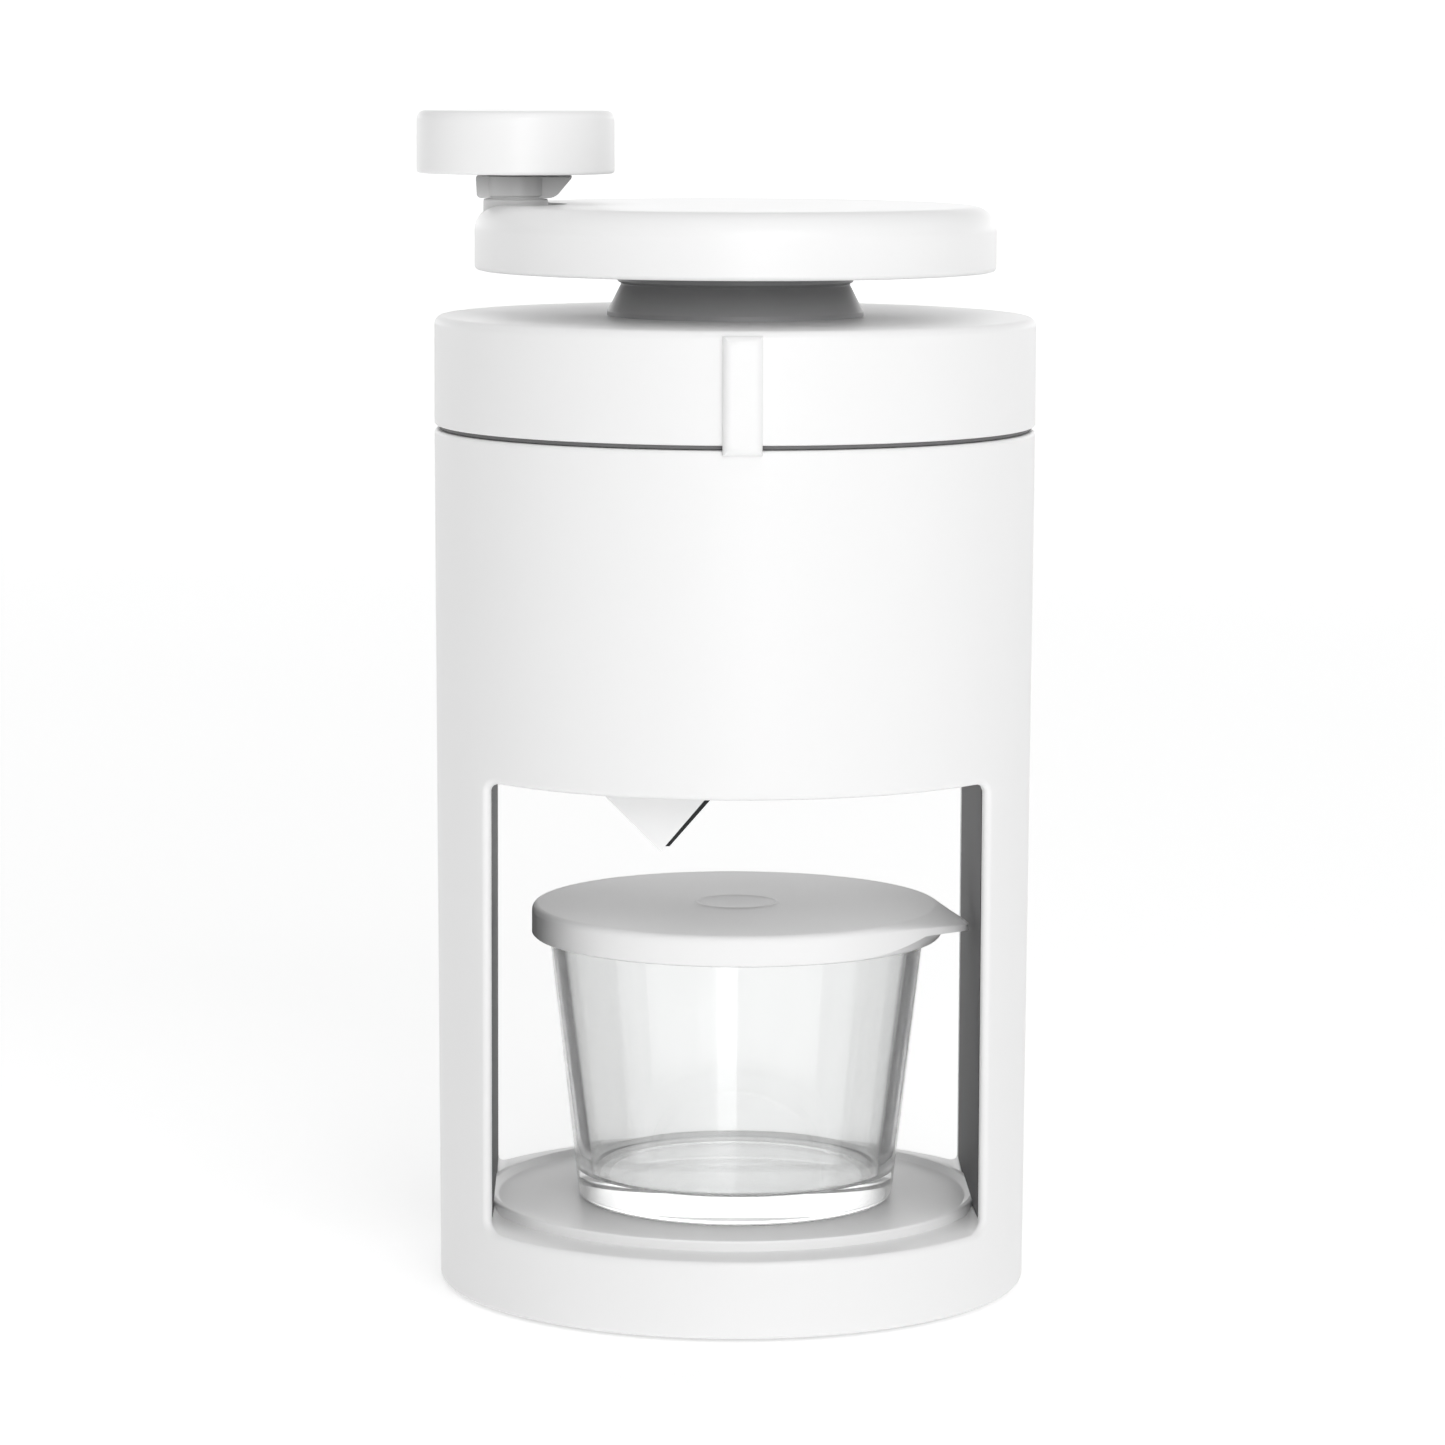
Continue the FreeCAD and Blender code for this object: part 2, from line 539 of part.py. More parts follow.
lidPilots = [cylinder("lidPilot%d" % index, dim.screwRadius, lidBottom, dim.screwReach + dim.linerPlate, x, y)
             for index, (x, y) in enumerate(lidPostPlaces)]
keep(cutFrom("lidShell", joined("lidSolid", [lidRounded, rib] + lidPosts), lidPilots), "lid_shell")

keep(turned("lidSeal", [
    (dim.seamRadius - dim.sealInset - dim.sealWidth, shellTop + dim.sealPlay),
    (dim.seamRadius - dim.sealInset, shellTop + dim.sealPlay),
    (dim.seamRadius - dim.sealInset, lidBottom),
    (dim.seamRadius - dim.sealInset - dim.sealWidth, lidBottom)]), "lid_seal")

linerSolid = turned("lidLinerSolid", [
    (linerBore, lidBottom), (linerBore, lidBottom + dim.linerPlate),
    (linerRadius - dim.slideGap / 2, lidBottom + dim.linerPlate), (linerRadius - dim.slideGap / 2, lidBottom),
    (plugRadius, lidBottom), (plugRadius, lidBottom - dim.plugDepth),
    (plugRadius - dim.plugWall, lidBottom - dim.plugDepth), (plugRadius - dim.plugWall, lidBottom)])
sealSeat = turned("sealSeat", [
    (plugRadius, lidBottom - dim.overrun), (dim.seamRadius, lidBottom - dim.overrun),
    (dim.seamRadius, lidBottom), (plugRadius, lidBottom)])
lidKeys = [block("lidKey%d" % index, dim.keyLap + keyPlay, dim.keyWidth, dim.keyDepth - keyPlay, x,
                 -dim.keyWidth / 2, hopperTop - dim.keyDepth + keyPlay)
           for index, x in enumerate((plugRadius - dim.overrun, -plugRadius - dim.overrun - keyPlay))]
linerHoles = [cylinder("linerHole%d" % index, dim.screwRadius + dim.slideGap / 2, lidBottom - dim.overrun,
                       dim.linerPlate + 2 * dim.overrun, x, y)
              for index, (x, y) in enumerate(lidPostPlaces)]
keep(cutFrom("lidLiner", joined("linerAndKeys", [linerSolid] + lidKeys), [sealSeat] + linerHoles),
     "lid_liner")
keep(screwSet("lidScrews", lidPostPlaces, lidBottom - dim.headHeight), "lid_screws")

keep(turned("shaftBush", [
    (dim.tubeRadius + dim.runningGap, hubBottom), (bushRadius, hubBottom), (bushRadius, collarTop),
    (bushFlange, collarTop), (bushFlange, collarTop + dim.bushFlangeGauge),
    (dim.tubeRadius + dim.runningGap, collarTop + dim.bushFlangeGauge)]), "shaft_bush")
keep(turned("bearingCollar", [
    (bushRadius, lidTop), (dim.collarFoot, lidTop),
    (dim.collarFoot - dim.collarFlare, lidTop + dim.collarFlareRise),
    (dim.collarNeck + dim.collarWaist, collarTop - dim.collarLip - dim.collarWaistDrop),
    (dim.collarNeck, collarTop - dim.collarLip),
    (dim.collarNeck + dim.collarLipProud, collarTop - dim.collarLip + dim.collarLipRise),
    (dim.collarNeck + dim.collarLipProud, collarTop),
    (bushRadius, collarTop)]), "bearing_collar")

# ---------------------------------------------------------------- crank
discHubBottom = discBottom + dim.discHubRecess
discCup = turned("discCup", [
    (discRadius, discBottom), (discRadius, discTop), (0, discTop), (0, discCeiling),
    (dim.tubeRadius + dim.runningGap, discCeiling), (dim.tubeRadius + dim.runningGap, discHubBottom),
    (discHubRadius, discHubBottom), (discHubRadius, discCeiling),
    (discRadius - dim.discWall, discCeiling), (discRadius - dim.discWall, discBottom)])
discTopRounded = rounded("discTopRounded", discCup, dim.discTopRound,
                         lambda edge: isRing(edge, discRadius, discTop))
discRounded = rounded("discRounded", discTopRounded, dim.discBottomRound,
                      lambda edge: isRing(edge, discRadius, discBottom))
seatFloor = discTop - dim.seatDepth
underplateTop = underplateBottom + dim.underplateGauge
postBoss = cylinder("postBoss", dim.spigotRadius + dim.postBossWall, underplateTop, seatFloor - underplateTop,
                    -knobOffset)
seatCut = cylinder("seatCut", seatRadius, seatFloor, dim.seatDepth + dim.overrun, -knobOffset)
spigotCut = cylinder("spigotCut", dim.spigotRadius + dim.runningGap,
                     seatFloor - dim.spigotLength - dim.spigotEndGap,
                     dim.spigotLength + dim.overrun, -knobOffset)
postScrewCut = cylinder("postScrewCut", dim.screwRadius + dim.postScrewPlay, discBottom, dim.discHeight / 2,
                        -knobOffset)
crankPosts = [cylinder("crankPost%d" % index, dim.crankPostRadius, underplateTop,
                       discCeiling - underplateTop + dim.underplateInset, x, y)
              for index, (x, y) in enumerate(crankScrewPlaces)]
crankPilots = [cylinder("crankPilot%d" % index, dim.screwRadius, discBottom,
                        dim.screwReach + 2 * dim.overrun, x, y)
               for index, (x, y) in enumerate(crankScrewPlaces)]
seatSkin = cylinder("seatSkin", seatRadius + dim.seatSkinGauge, seatFloor - dim.seatSkinGauge, dim.seatDepth,
                    -knobOffset)
seatLimit = cylinder("seatLimit", discRadius - dim.seatSkinInset, discBottom,
                     dim.discHeight - dim.seatSkinInset)
seatWall = doc.addObject("Part::Common", "seatWall")
seatWall.Base = seatSkin
seatWall.Tool = seatLimit
keep(cutFrom("crankDisc", joined("discSolid", [discRounded, postBoss, seatWall] + crankPosts),
             [seatCut, spigotCut, postScrewCut] + crankPilots), "crank_disc")

underplateRadius = discRadius - dim.discWall - dim.slideGap / 2
underplateBore = discHubRadius + dim.underplateHubGap
underplateDisc = turned("underplateDisc", [
    (underplateBore, underplateBottom), (underplateRadius, underplateBottom),
    (underplateRadius, underplateTop), (underplateBore, underplateTop)])
underplateHoles = [cylinder("underplateHole%d" % index, dim.screwRadius + dim.screwPlay,
                            discBottom - dim.overrun, dim.underplateGauge + 3 * dim.overrun, x, y)
                   for index, (x, y) in enumerate(crankScrewPlaces)]
underplateSinks = [cylinder("underplateSink%d" % index, dim.headRadius + dim.screwPlay,
                            underplateBottom - dim.overrun, dim.headHeight + dim.overrun, x, y)
                   for index, (x, y) in enumerate(crankScrewPlaces
                                                  + [(-knobOffset, asSize(0))])]
underplatePost = cylinder("underplatePost", dim.screwRadius + dim.screwPlay, discBottom - dim.overrun,
                          dim.underplateGauge + 3 * dim.overrun, -knobOffset)
keep(cutFrom("underplate", underplateDisc, underplateHoles + underplateSinks + [underplatePost]),
     "crank_underplate")
keep(screwSet("crankScrews", crankScrewPlaces, underplateBottom), "crank_screws")

tubeTop = discCeiling - dim.tubeEndGap
clipBottom = hubBottom - dim.clipSeat
grooveRadius = dim.tubeRadius - dim.clipGroove
tubeRound = turned("tubeRound", [
    (0, tubeBottom), (dim.tubeRadius, tubeBottom), (dim.tubeRadius, hubBottom - dim.clipGrooveLow),
    (grooveRadius, hubBottom - dim.clipGrooveLow), (grooveRadius, hubBottom - dim.clipGrooveHigh),
    (dim.tubeRadius, hubBottom - dim.clipGrooveHigh), (dim.tubeRadius, tubeTop), (0, tubeTop)])
tubeHex = hexagon("tubeHex", dim.hexAcross + 2 * dim.hexPlay, tubeBottom - dim.overrun,
                  tubeTop - tubeBottom - dim.tubeEndWall)
keep(cutFrom("driveTube", tubeRound, [tubeHex]), "drive_tube")
keep(turned("retainingClip", [
    (grooveRadius + dim.runningGap, clipBottom), (clipRadius, clipBottom),
    (clipRadius, clipBottom + dim.clipGauge),
    (grooveRadius + dim.runningGap, clipBottom + dim.clipGauge)]), "retaining_clip")
keep(turned("springWasher", [
    (dim.tubeRadius + dim.runningGap, springTop), (washerRadius, springTop),
    (washerRadius, springTop + dim.washerGauge),
    (dim.tubeRadius + dim.runningGap, springTop + dim.washerGauge)]), "spring_washer")

grooveTop = pedestalTop + dim.grooveWidth
postSolid = turned("postSolid", [
    (0, seatFloor - dim.spigotLength), (dim.spigotRadius, seatFloor - dim.spigotLength),
    (dim.spigotRadius, seatFloor), (pedestalRadius, seatFloor), (pedestalRadius, pedestalTop),
    (dim.postRadius - dim.grooveDepth, pedestalTop), (dim.postRadius - dim.grooveDepth, grooveTop),
    (dim.postRadius, grooveTop), (dim.postRadius, postTop), (dim.spindleRadius, postTop),
    (dim.spindleRadius, knobHubTop), (0, knobHubTop)])
place(postSolid, -knobOffset)
postPilots = [cylinder("postPilotLow", dim.screwRadius, seatFloor - dim.spigotLength - dim.overrun,
                       dim.postPilotDepth + dim.overrun, -knobOffset),
              cylinder("postPilotHigh", dim.screwRadius, knobHubTop - dim.screwReach,
                       dim.screwReach + dim.overrun, -knobOffset)]
keep(cutFrom("knobPost", postSolid, postPilots), "knob_post")

bracketLow = postTop - dim.bracketHeight
wingFootX = -knobOffset + dim.bracketShift / 2
wingHeadX = -knobOffset + dim.bracketShift
bracketWing = padded("bracketWing", "XZ_Plane", [
    (wingFootX - bracketHalfBottom, bracketLow),
    (wingFootX + bracketHalfBottom - dim.bracketCut, bracketLow),
    (wingFootX + bracketHalfBottom + dim.bracketCutTop, bracketLow + dim.bracketCutRise),
    (wingHeadX + bracketHalfTop, postTop), (wingHeadX - bracketHalfTop, postTop),
    (wingHeadX - bracketHalfTop + dim.bracketLean, bracketLow + dim.bracketLeanRise)],
    dim.bracketThickness, -dim.bracketBack)
bracketBore = cylinder("bracketBore", dim.postRadius + dim.bracketPlay, bracketLow - dim.overrun,
                       dim.bracketHeight + 2 * dim.overrun, -knobOffset)
keep(cutFrom("knobBracket", bracketWing, [bracketBore]), "knob_bracket")

keep(screwSet("postScrew", [(-knobOffset, asSize(0))], underplateBottom), "post_screw")
keep(screwSet("knobScrew", [(-knobOffset, asSize(0))], knobHubTop + dim.knobHeadGap, True,
              dim.knobHeadRadius, dim.screwReach - dim.knobScrewShortfall), "knob_screw")

# ---------------------------------------------------------------- knob
knobCup = turned("knobCup", [
    (dim.knobRadius, knobBottom), (dim.knobRadius, knobTop), (0, knobTop), (0, knobTop - dim.knobRoof),
    (dim.knobRadius - dim.knobWall, knobTop - dim.knobRoof), (dim.knobRadius - dim.knobWall, knobBottom)])
knobTopRounded = rounded("knobTopRounded", knobCup, dim.knobTopRound,
                         lambda edge: isRing(edge, dim.knobRadius, knobTop))
knobRounded = rounded("knobRounded", knobTopRounded, dim.knobBottomRound,
                      lambda edge: isRing(edge, dim.knobRadius, knobBottom))
place(knobRounded, -knobOffset)
keep(knobRounded, "crank_knob")
knobBaseRadius = dim.knobRadius - dim.knobWall - dim.knobBasePlay
knobHub = turned("knobHub", [
    (dim.spindleRadius + dim.runningGap, knobBaseBottom), (knobBaseRadius, knobBaseBottom),
    (knobBaseRadius, knobBaseBottom + dim.knobBaseGauge), (knobHubRadius, knobBaseBottom + dim.knobBaseGauge),
    (knobHubRadius, knobHubTop - dim.knobHubGap),
    (dim.spindleRadius + dim.runningGap, knobHubTop - dim.knobHubGap)])
place(knobHub, -knobOffset)
keep(knobHub, "knob_base")

# ---------------------------------------------------------------- presser
plateHubTop = plateBottomHeight + dim.plateThickness + dim.plateHubHeight
plateSolid = turned("plateSolid", [
    (0, plateBottomHeight), (plateRadius, plateBottomHeight),
    (plateRadius, plateBottomHeight + dim.plateThickness),
    (dim.plateHubRadius + dim.plateHubFlare, plateBottomHeight + dim.plateThickness),
    (dim.plateHubRadius, plateHubTop), (0, plateHubTop)])
stemBottom = plateBottomHeight + dim.stemSeatDepth
stemHex = hexagon("presserStem", dim.hexAcross, stemBottom, stemTop - stemBottom)
stemSeat = hexagon("stemSeat", dim.hexAcross + dim.stemSeatPlay, stemBottom, plateHubTop)
spikeSeats = [cylinder("spikeSeat%d" % index, dim.spikeRadius + dim.spikeSeatPlay,
                       plateBottomHeight - dim.overrun, dim.spikeRoot + dim.overrun, x, y)
              for index, (x, y) in enumerate(spikePlaces)]
keep(cutFrom("pressPlate", plateSolid, [stemSeat] + spikeSeats), "press_plate")
keep(stemHex, "presser_stem")
spikes = []
for index, (x, y) in enumerate(spikePlaces):
    shank = cylinder("spikeShank%d" % index, dim.spikeRadius, plateBottomHeight, dim.spikeRoot, x, y)
    point = cone("spikePoint%d" % index, dim.spikeTipRadius, dim.spikeRadius,
                 plateBottomHeight - dim.spikeLength, dim.spikeLength, x, y)
    spikes.append(joined("spike%d" % index, [shank, point]))
keep(grouped("iceSpikes", spikes), "ice_spikes")

springBottom = plateBottomHeight + dim.plateThickness + dim.springFootGap
springLength = springTop - springBottom - dim.springWire
springBody = newBody("springBody")
springSection = springBody.newObject("Sketcher::SketchObject", "springSection")
springSection.AttachmentSupport = [(planeOf(springBody, "XZ_Plane"), "")]
springSection.MapMode = "FlatFace"
springFoot = springBottom + dim.springWire / 2 + dim.springEndGap
springSection.addGeometry(Part.Circle(FreeCAD.Vector(springMeanRadius.value, springFoot.value, 0),
                                      FreeCAD.Vector(0, 0, 1), dim.springWire.value / 2), False)
for kind, size in (("DistanceX", springMeanRadius), ("DistanceY", springFoot)):
    number = springSection.addConstraint(Sketcher.Constraint(kind, -1, 1, 0, 3, size.value))
    bind(springSection, "Constraints[%d]" % number, size)
number = springSection.addConstraint(Sketcher.Constraint("Radius", 0, dim.springWire.value / 2))
bind(springSection, "Constraints[%d]" % number, dim.springWire / 2)
doc.recompute()
coil = springBody.newObject("PartDesign::AdditiveHelix", "springCoil")
coil.Profile = springSection
coil.ReferenceAxis = (springSection, ["V_Axis"])
coil.Mode = 2
bind(coil, "Height", springLength - 2 * dim.springEndGap)
bind(coil, "Turns", dim.springTurns)
springBody.Tip = coil
keep(springBody, "presser_spring")

# ---------------------------------------------------------------- bowl
bowlOuter = [(bowlFootRadius - dim.bowlFootRound, trayFloor),
             (bowlFootRadius, trayFloor + dim.bowlFootRound)]
bowlFloor = trayFloor + dim.bowlBase
bowlSolid = turned("glassBowl", [(0, trayFloor)] + bowlOuter + [
    (bowlRimRadius, bowlRim - dim.beadHeight - dim.beadRamp), (beadRadius, bowlRim - dim.beadHeight),
    (beadRadius, bowlRim), (bowlRimRadius - dim.bowlWall, bowlRim),
    (bowlInnerFoot + dim.bowlCornerRun, bowlFloor + dim.bowlCornerRise),
    (bowlInnerFoot - dim.bowlCornerInset, bowlFloor), (0, bowlFloor)])
place(bowlSolid, dim.bowlShift)
keep(bowlSolid, "glass_bowl")

lidSkirt = turned("bowlLidSkirt", [
    (0, bowlRim + dim.bowlLidGap), (gripRadius, bowlRim + dim.bowlLidGap), (gripRadius, bowlLidBottom),
    (bowlLidRadius, bowlLidBottom), (bowlLidRadius, bowlLidTop), (0, bowlLidTop)])
lidSkirtRounded = rounded("bowlLidRounded", lidSkirt, dim.bowlLidRound,
                          lambda edge: isRing(edge, bowlLidRadius, bowlLidTop))
tabRoot = squareRoot(bowlLidRadius * bowlLidRadius - dim.tabHalfWidth * dim.tabHalfWidth)
tabSolid = padded("bowlLidTab", "XY_Plane", [
    (gripRadius + dim.tabLap, -dim.tabHalfWidth / 2), (tabRoot + dim.tabLap, -dim.tabHalfWidth),
    (tabRoot + dim.tabShoulder, -dim.tabHalfWidth / 2), (tabReach, -dim.tabTipHalf),
    (tabReach, dim.tabTipHalf), (tabRoot + dim.tabShoulder, dim.tabHalfWidth / 2),
    (tabRoot + dim.tabLap, dim.tabHalfWidth), (gripRadius + dim.tabLap, dim.tabHalfWidth / 2)],
    dim.tabGauge, tabHeight)
tabSolid.Placement.Rotation = FreeCAD.Rotation(FreeCAD.Vector(0, 0, 1), dim.tabTurn.value)
bowlLid = joined("bowlLid", [lidSkirtRounded, tabSolid])
place(bowlLid, dim.bowlShift)
keep(bowlLid, "bowl_lid")

# ---------------------------------------------------------------- check and write
doc.recompute()
for item in doc.Objects:
    if "Invalid" in item.State or "Error" in item.State:
        raise RuntimeError("%s failed: %s" % (item.Name, item.State))
os.makedirs("parts", exist_ok=True)
for piece in pieces:
    shape = piece.Shape
    if shape.isNull() or not shape.isValid():
        raise RuntimeError("%s has no valid shape" % piece.Label)
    shape.exportStep("parts/%s.step" % piece.Label)
    print("%-20s %2d solids %9.0f mm3" % (piece.Label, len(shape.Solids), shape.Volume))
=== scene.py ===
import bmesh
import bpy
import math
from mathutils import Matrix, Vector


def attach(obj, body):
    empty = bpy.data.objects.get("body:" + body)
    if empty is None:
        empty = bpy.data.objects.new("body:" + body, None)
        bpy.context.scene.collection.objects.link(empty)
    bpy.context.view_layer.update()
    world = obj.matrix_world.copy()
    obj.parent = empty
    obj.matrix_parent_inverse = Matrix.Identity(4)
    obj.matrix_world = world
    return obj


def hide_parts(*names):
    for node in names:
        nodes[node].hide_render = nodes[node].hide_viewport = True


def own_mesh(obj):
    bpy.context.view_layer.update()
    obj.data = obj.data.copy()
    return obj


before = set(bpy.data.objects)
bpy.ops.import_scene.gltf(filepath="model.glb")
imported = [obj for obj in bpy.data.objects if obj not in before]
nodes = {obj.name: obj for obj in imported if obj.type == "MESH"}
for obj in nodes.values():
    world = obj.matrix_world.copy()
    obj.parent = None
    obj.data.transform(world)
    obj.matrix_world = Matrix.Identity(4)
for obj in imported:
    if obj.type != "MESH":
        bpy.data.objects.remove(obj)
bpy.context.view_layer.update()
mm = 0.001
print("frame loaded,", len(nodes), "parts")


# shader helpers

class Wire:
    def __init__(self, recipe, socket):
        self.recipe = recipe
        self.socket = socket

    def math(self, operation, other, swapped=False):
        pair = (other, self) if swapped else (self, other)
        return self.recipe.node("ShaderNodeMath", {"operation": operation}, dict(enumerate(pair)))

    def __add__(self, other):
        return self.math("ADD", other)

    def __radd__(self, other):
        return self.math("ADD", other, True)

    def __sub__(self, other):
        return self.math("SUBTRACT", other)

    def __rsub__(self, other):
        return self.math("SUBTRACT", other, True)

    def __mul__(self, other):
        return self.math("MULTIPLY", other)

    def __rmul__(self, other):
        return self.math("MULTIPLY", other, True)


class Recipe:
    def __init__(self, owner, coordinate="Object"):
        self.owner = owner
        self.owner.use_nodes = True
        self.tree = self.owner.node_tree
        self.tree.nodes.clear()
        self.place = self.node("ShaderNodeTexCoord", {}, {}, coordinate)

    def node(self, kind, settings, sockets, output=0):
        made = self.tree.nodes.new(kind)
        for key, value in settings.items():
            if key == "stops":
                for element, (position, level) in zip(made.color_ramp.elements, value):
                    element.position = position
                    element.color = (level, level, level, 1)
            else:
                setattr(made, key, value)
        for key, value in sockets.items():
            if isinstance(value, Wire):
                self.tree.links.new(value.socket, made.inputs[key])
            else:
                made.inputs[key].default_value = value
        return Wire(self, made.outputs[output]) if made.outputs else made

    def noise(self, scale, detail=2.0, stretch=(1, 1, 1)):
        where = self.node("ShaderNodeMapping", {}, {"Vector": self.place, "Scale": stretch})
        return self.node("ShaderNodeTexNoise", {}, {"Vector": where, "Scale": scale, "Detail": detail}, "Fac")

    def ramp(self, value, low, high):
        return self.node("ShaderNodeValToRGB", {"stops": [(low, 0), (high, 1)]}, {"Fac": value})

    def blend(self, factor, one, two):
        one, two = (end if isinstance(end, Wire) else (*end, 1) for end in (one, two))
        return self.node("ShaderNodeMix", {"data_type": "RGBA"}, {0: factor, 6: one, 7: two}, 2)

    def bump(self, height, strength, distance):
        return self.node("ShaderNodeBump", {}, {"Height": height, "Strength": strength, "Distance": distance})

    def surface(self, sockets):
        shader = self.node("ShaderNodeBsdfPrincipled", {}, sockets)
        self.node("ShaderNodeOutputMaterial", {}, {"Surface": shader})
        return self.owner


def newMaterial(name):
    return Recipe(bpy.data.materials.new(name))


# finishes

plasticGrain = {"cloud": (14, 3), "flow": (60, 2, (1, 1, 0.35)), "spread": 0.03, "flowShare": 0.4,
                "depth": 0.00006}
plasticLook = {  # colour, tone swing, roughness, specular level, grain strength, grain scale, painted shade that darkens the top (low and high height in mm, how much lighter the foot is)
    "satinWhite": ((0.86, 0.86, 0.86), 0.012, 0.40, 0.5, 0.10, 2600),
    # a lighter copy of the satin white for parts in the bay and under the disc and knob: the extra lightness
    # is painted light
    "bayWhitePaintedLight": ((0.92, 0.92, 0.92), 0.012, 0.42, 0.5, 0.10, 2600),
    "discWhite": ((0.86, 0.86, 0.86), 0.012, 0.36, 0.5, 0.08, 2600),
    "knobWhite": ((0.86, 0.86, 0.86), 0.012, 0.34, 0.5, 0.08, 2600),
    # pillar liners: their dark grey is partly their own colour and partly painted shade for the dark inside
    # of the pillars
    "linerGreyPaintedShade": ((0.13, 0.13, 0.132), 0.010, 0.60, 0.15, 0.12, 2200),
    # collar: grey plastic with painted shade, darker towards the top where it sits under the disc
    "collarGreyPaintedShade": ((0.25, 0.25, 0.254), 0.010, 0.38, 0.5, 0.10, 2200, (211.4, 217.0, 1.8)),
    # knob post and bracket: white plastic coloured grey and darker towards the top, as painted shade under
    # the knob
    "postPaintedShadeGrey": ((0.36, 0.36, 0.36), 0.012, 0.36, 0.5, 0.10, 2200, (236.0, 241.2, 1.9)),
    "presserGrey": ((0.42, 0.42, 0.43), 0.015, 0.42, 0.5, 0.12, 2200),
}


def mouldedPlastic(name, colour, swing, roughness, shine, grainStrength, grainScale, paintedShade=None):
    recipe = newMaterial(name)
    cloud = recipe.noise(*plasticGrain["cloud"])
    shade = colour
    if paintedShade:  # painted shade: darker towards the top, where the part sits under the disc or knob, lighter towards the foot
        low, high, lighter = paintedShade
        height = recipe.node("ShaderNodeSeparateXYZ", {}, {0: recipe.place}, 2)
        rise = recipe.node("ShaderNodeMapRange", {}, {"Value": height, 1: low * mm, 2: high * mm})
        shade = recipe.blend(rise, [channel * lighter for channel in colour], colour)
    grain = recipe.noise(grainScale, 1)
    flow = recipe.noise(*plasticGrain["flow"])
    darker = [channel * (1 - 2 * swing) for channel in colour]
    spread = plasticGrain["spread"]
    return recipe.surface({
        "Base Color": recipe.blend(cloud, darker, colour) if shade is colour else shade,
        "Roughness": roughness - spread + 2 * spread * flow + spread * (grain - 0.5),
        "Normal": recipe.bump(grain + plasticGrain["flowShare"] * flow, grainStrength, plasticGrain["depth"]),
        "Specular IOR Level": shine,
    })


steelLook = {"streaks": (900, 3, (1, 1, 0.04)), "cloud": (40, 2), "roughness": 0.22, "streakSwing": 0.14,
             "cloudSwing": 0.05, "bump": (0.15, 0.00004)}


def brushedSteel(name, low, high):
    recipe = newMaterial(name)
    streaks = recipe.noise(*steelLook["streaks"])
    cloud = recipe.noise(*steelLook["cloud"])
    return recipe.surface({
        "Base Color": recipe.blend(streaks, low, high),
        "Metallic": 1.0,
        "Roughness": (steelLook["roughness"] + steelLook["streakSwing"] * streaks
                      + steelLook["cloudSwing"] * cloud),
        "Normal": recipe.bump(streaks, *steelLook["bump"]),
    })


rubberLook = {"grain": (1800, 2), "cloud": (25, 2), "spread": 0.04, "bump": (0.25, 0.00006), "shine": 0.35}


def softRubber(name, low, high, roughness):
    recipe = newMaterial(name)
    grain = recipe.noise(*rubberLook["grain"])
    cloud = recipe.noise(*rubberLook["cloud"])
    return recipe.surface({
        "Base Color": recipe.blend(cloud, low, high),
        "Roughness": roughness - rubberLook["spread"] + 2 * rubberLook["spread"] * grain,
        "Normal": recipe.bump(grain, *rubberLook["bump"]),
        "Specular IOR Level": rubberLook["shine"],
    })


glassLook = {"ripple": (55, 1, (1, 1, 0.5)), "smear": (30, 3), "smearRamp": (0.55, 0.85), "roughness": 0.004,
             "smearSwing": 0.012, "low": (0.985, 0.992, 0.99), "high": (0.995, 1.0, 0.998),
             "bump": (0.05, 0.0003), "index": 1.5, "alpha": 0.86}


def clearGlass():
    recipe = newMaterial("clearGlass")
    ripple = recipe.noise(*glassLook["ripple"])
    smear = recipe.ramp(recipe.noise(*glassLook["smear"]), *glassLook["smearRamp"])
    return recipe.surface({
        "Base Color": recipe.blend(ripple, glassLook["low"], glassLook["high"]),
        "Roughness": glassLook["roughness"] + glassLook["smearSwing"] * smear,
        "Normal": recipe.bump(ripple, *glassLook["bump"]),
        "Transmission Weight": 1.0,
        "IOR": glassLook["index"],
        "Alpha": glassLook["alpha"],
    })


finishes = {name: mouldedPlastic(name, *look) for name, look in plasticLook.items()}
finishes["steel"] = brushedSteel("brushedSteel", (0.50, 0.50, 0.51), (0.68, 0.68, 0.69))
finishes["darkSteel"] = brushedSteel("darkSteel", (0.02, 0.02, 0.021), (0.035, 0.035, 0.036))
finishes["darkRubber"] = softRubber("darkRubber", (0.018, 0.018, 0.019), (0.03, 0.03, 0.031), 0.68)
finishes["sealRubber"] = softRubber("sealRubber", (0.15, 0.15, 0.152), (0.18, 0.18, 0.182), 0.6)
finishes["paleSilicone"] = softRubber("paleSilicone", (0.85, 0.85, 0.85), (0.88, 0.88, 0.88), 0.52)
finishes["glass"] = clearGlass()
print("finishes ready,", len(finishes))


# mesh helpers

meshRules = {"join": 2e-6, "sliver": 1e-7, "same": 1e-6, "sharp": 36.0, "weight": 60, "bevelSteps": 4}


def joinDoubles(bm):
    bmesh.ops.remove_doubles(bm, verts=bm.verts, dist=meshRules["join"])


def link(name, data):
    made = bpy.data.objects.new(name, data)
    bpy.context.scene.collection.objects.link(made)
    return made


def bevelEdges(bm, edges, size, segments=meshRules["bevelSteps"]):
    bmesh.ops.bevel(bm, geom=edges, offset=size * mm, segments=segments, profile=0.5, affect="EDGES",
                    clamp_overlap=True)


def smoothFaces(mesh, sharp=meshRules["sharp"]):
    mesh.shade_smooth()
    mesh.set_sharp_from_angle(angle=math.radians(sharp))


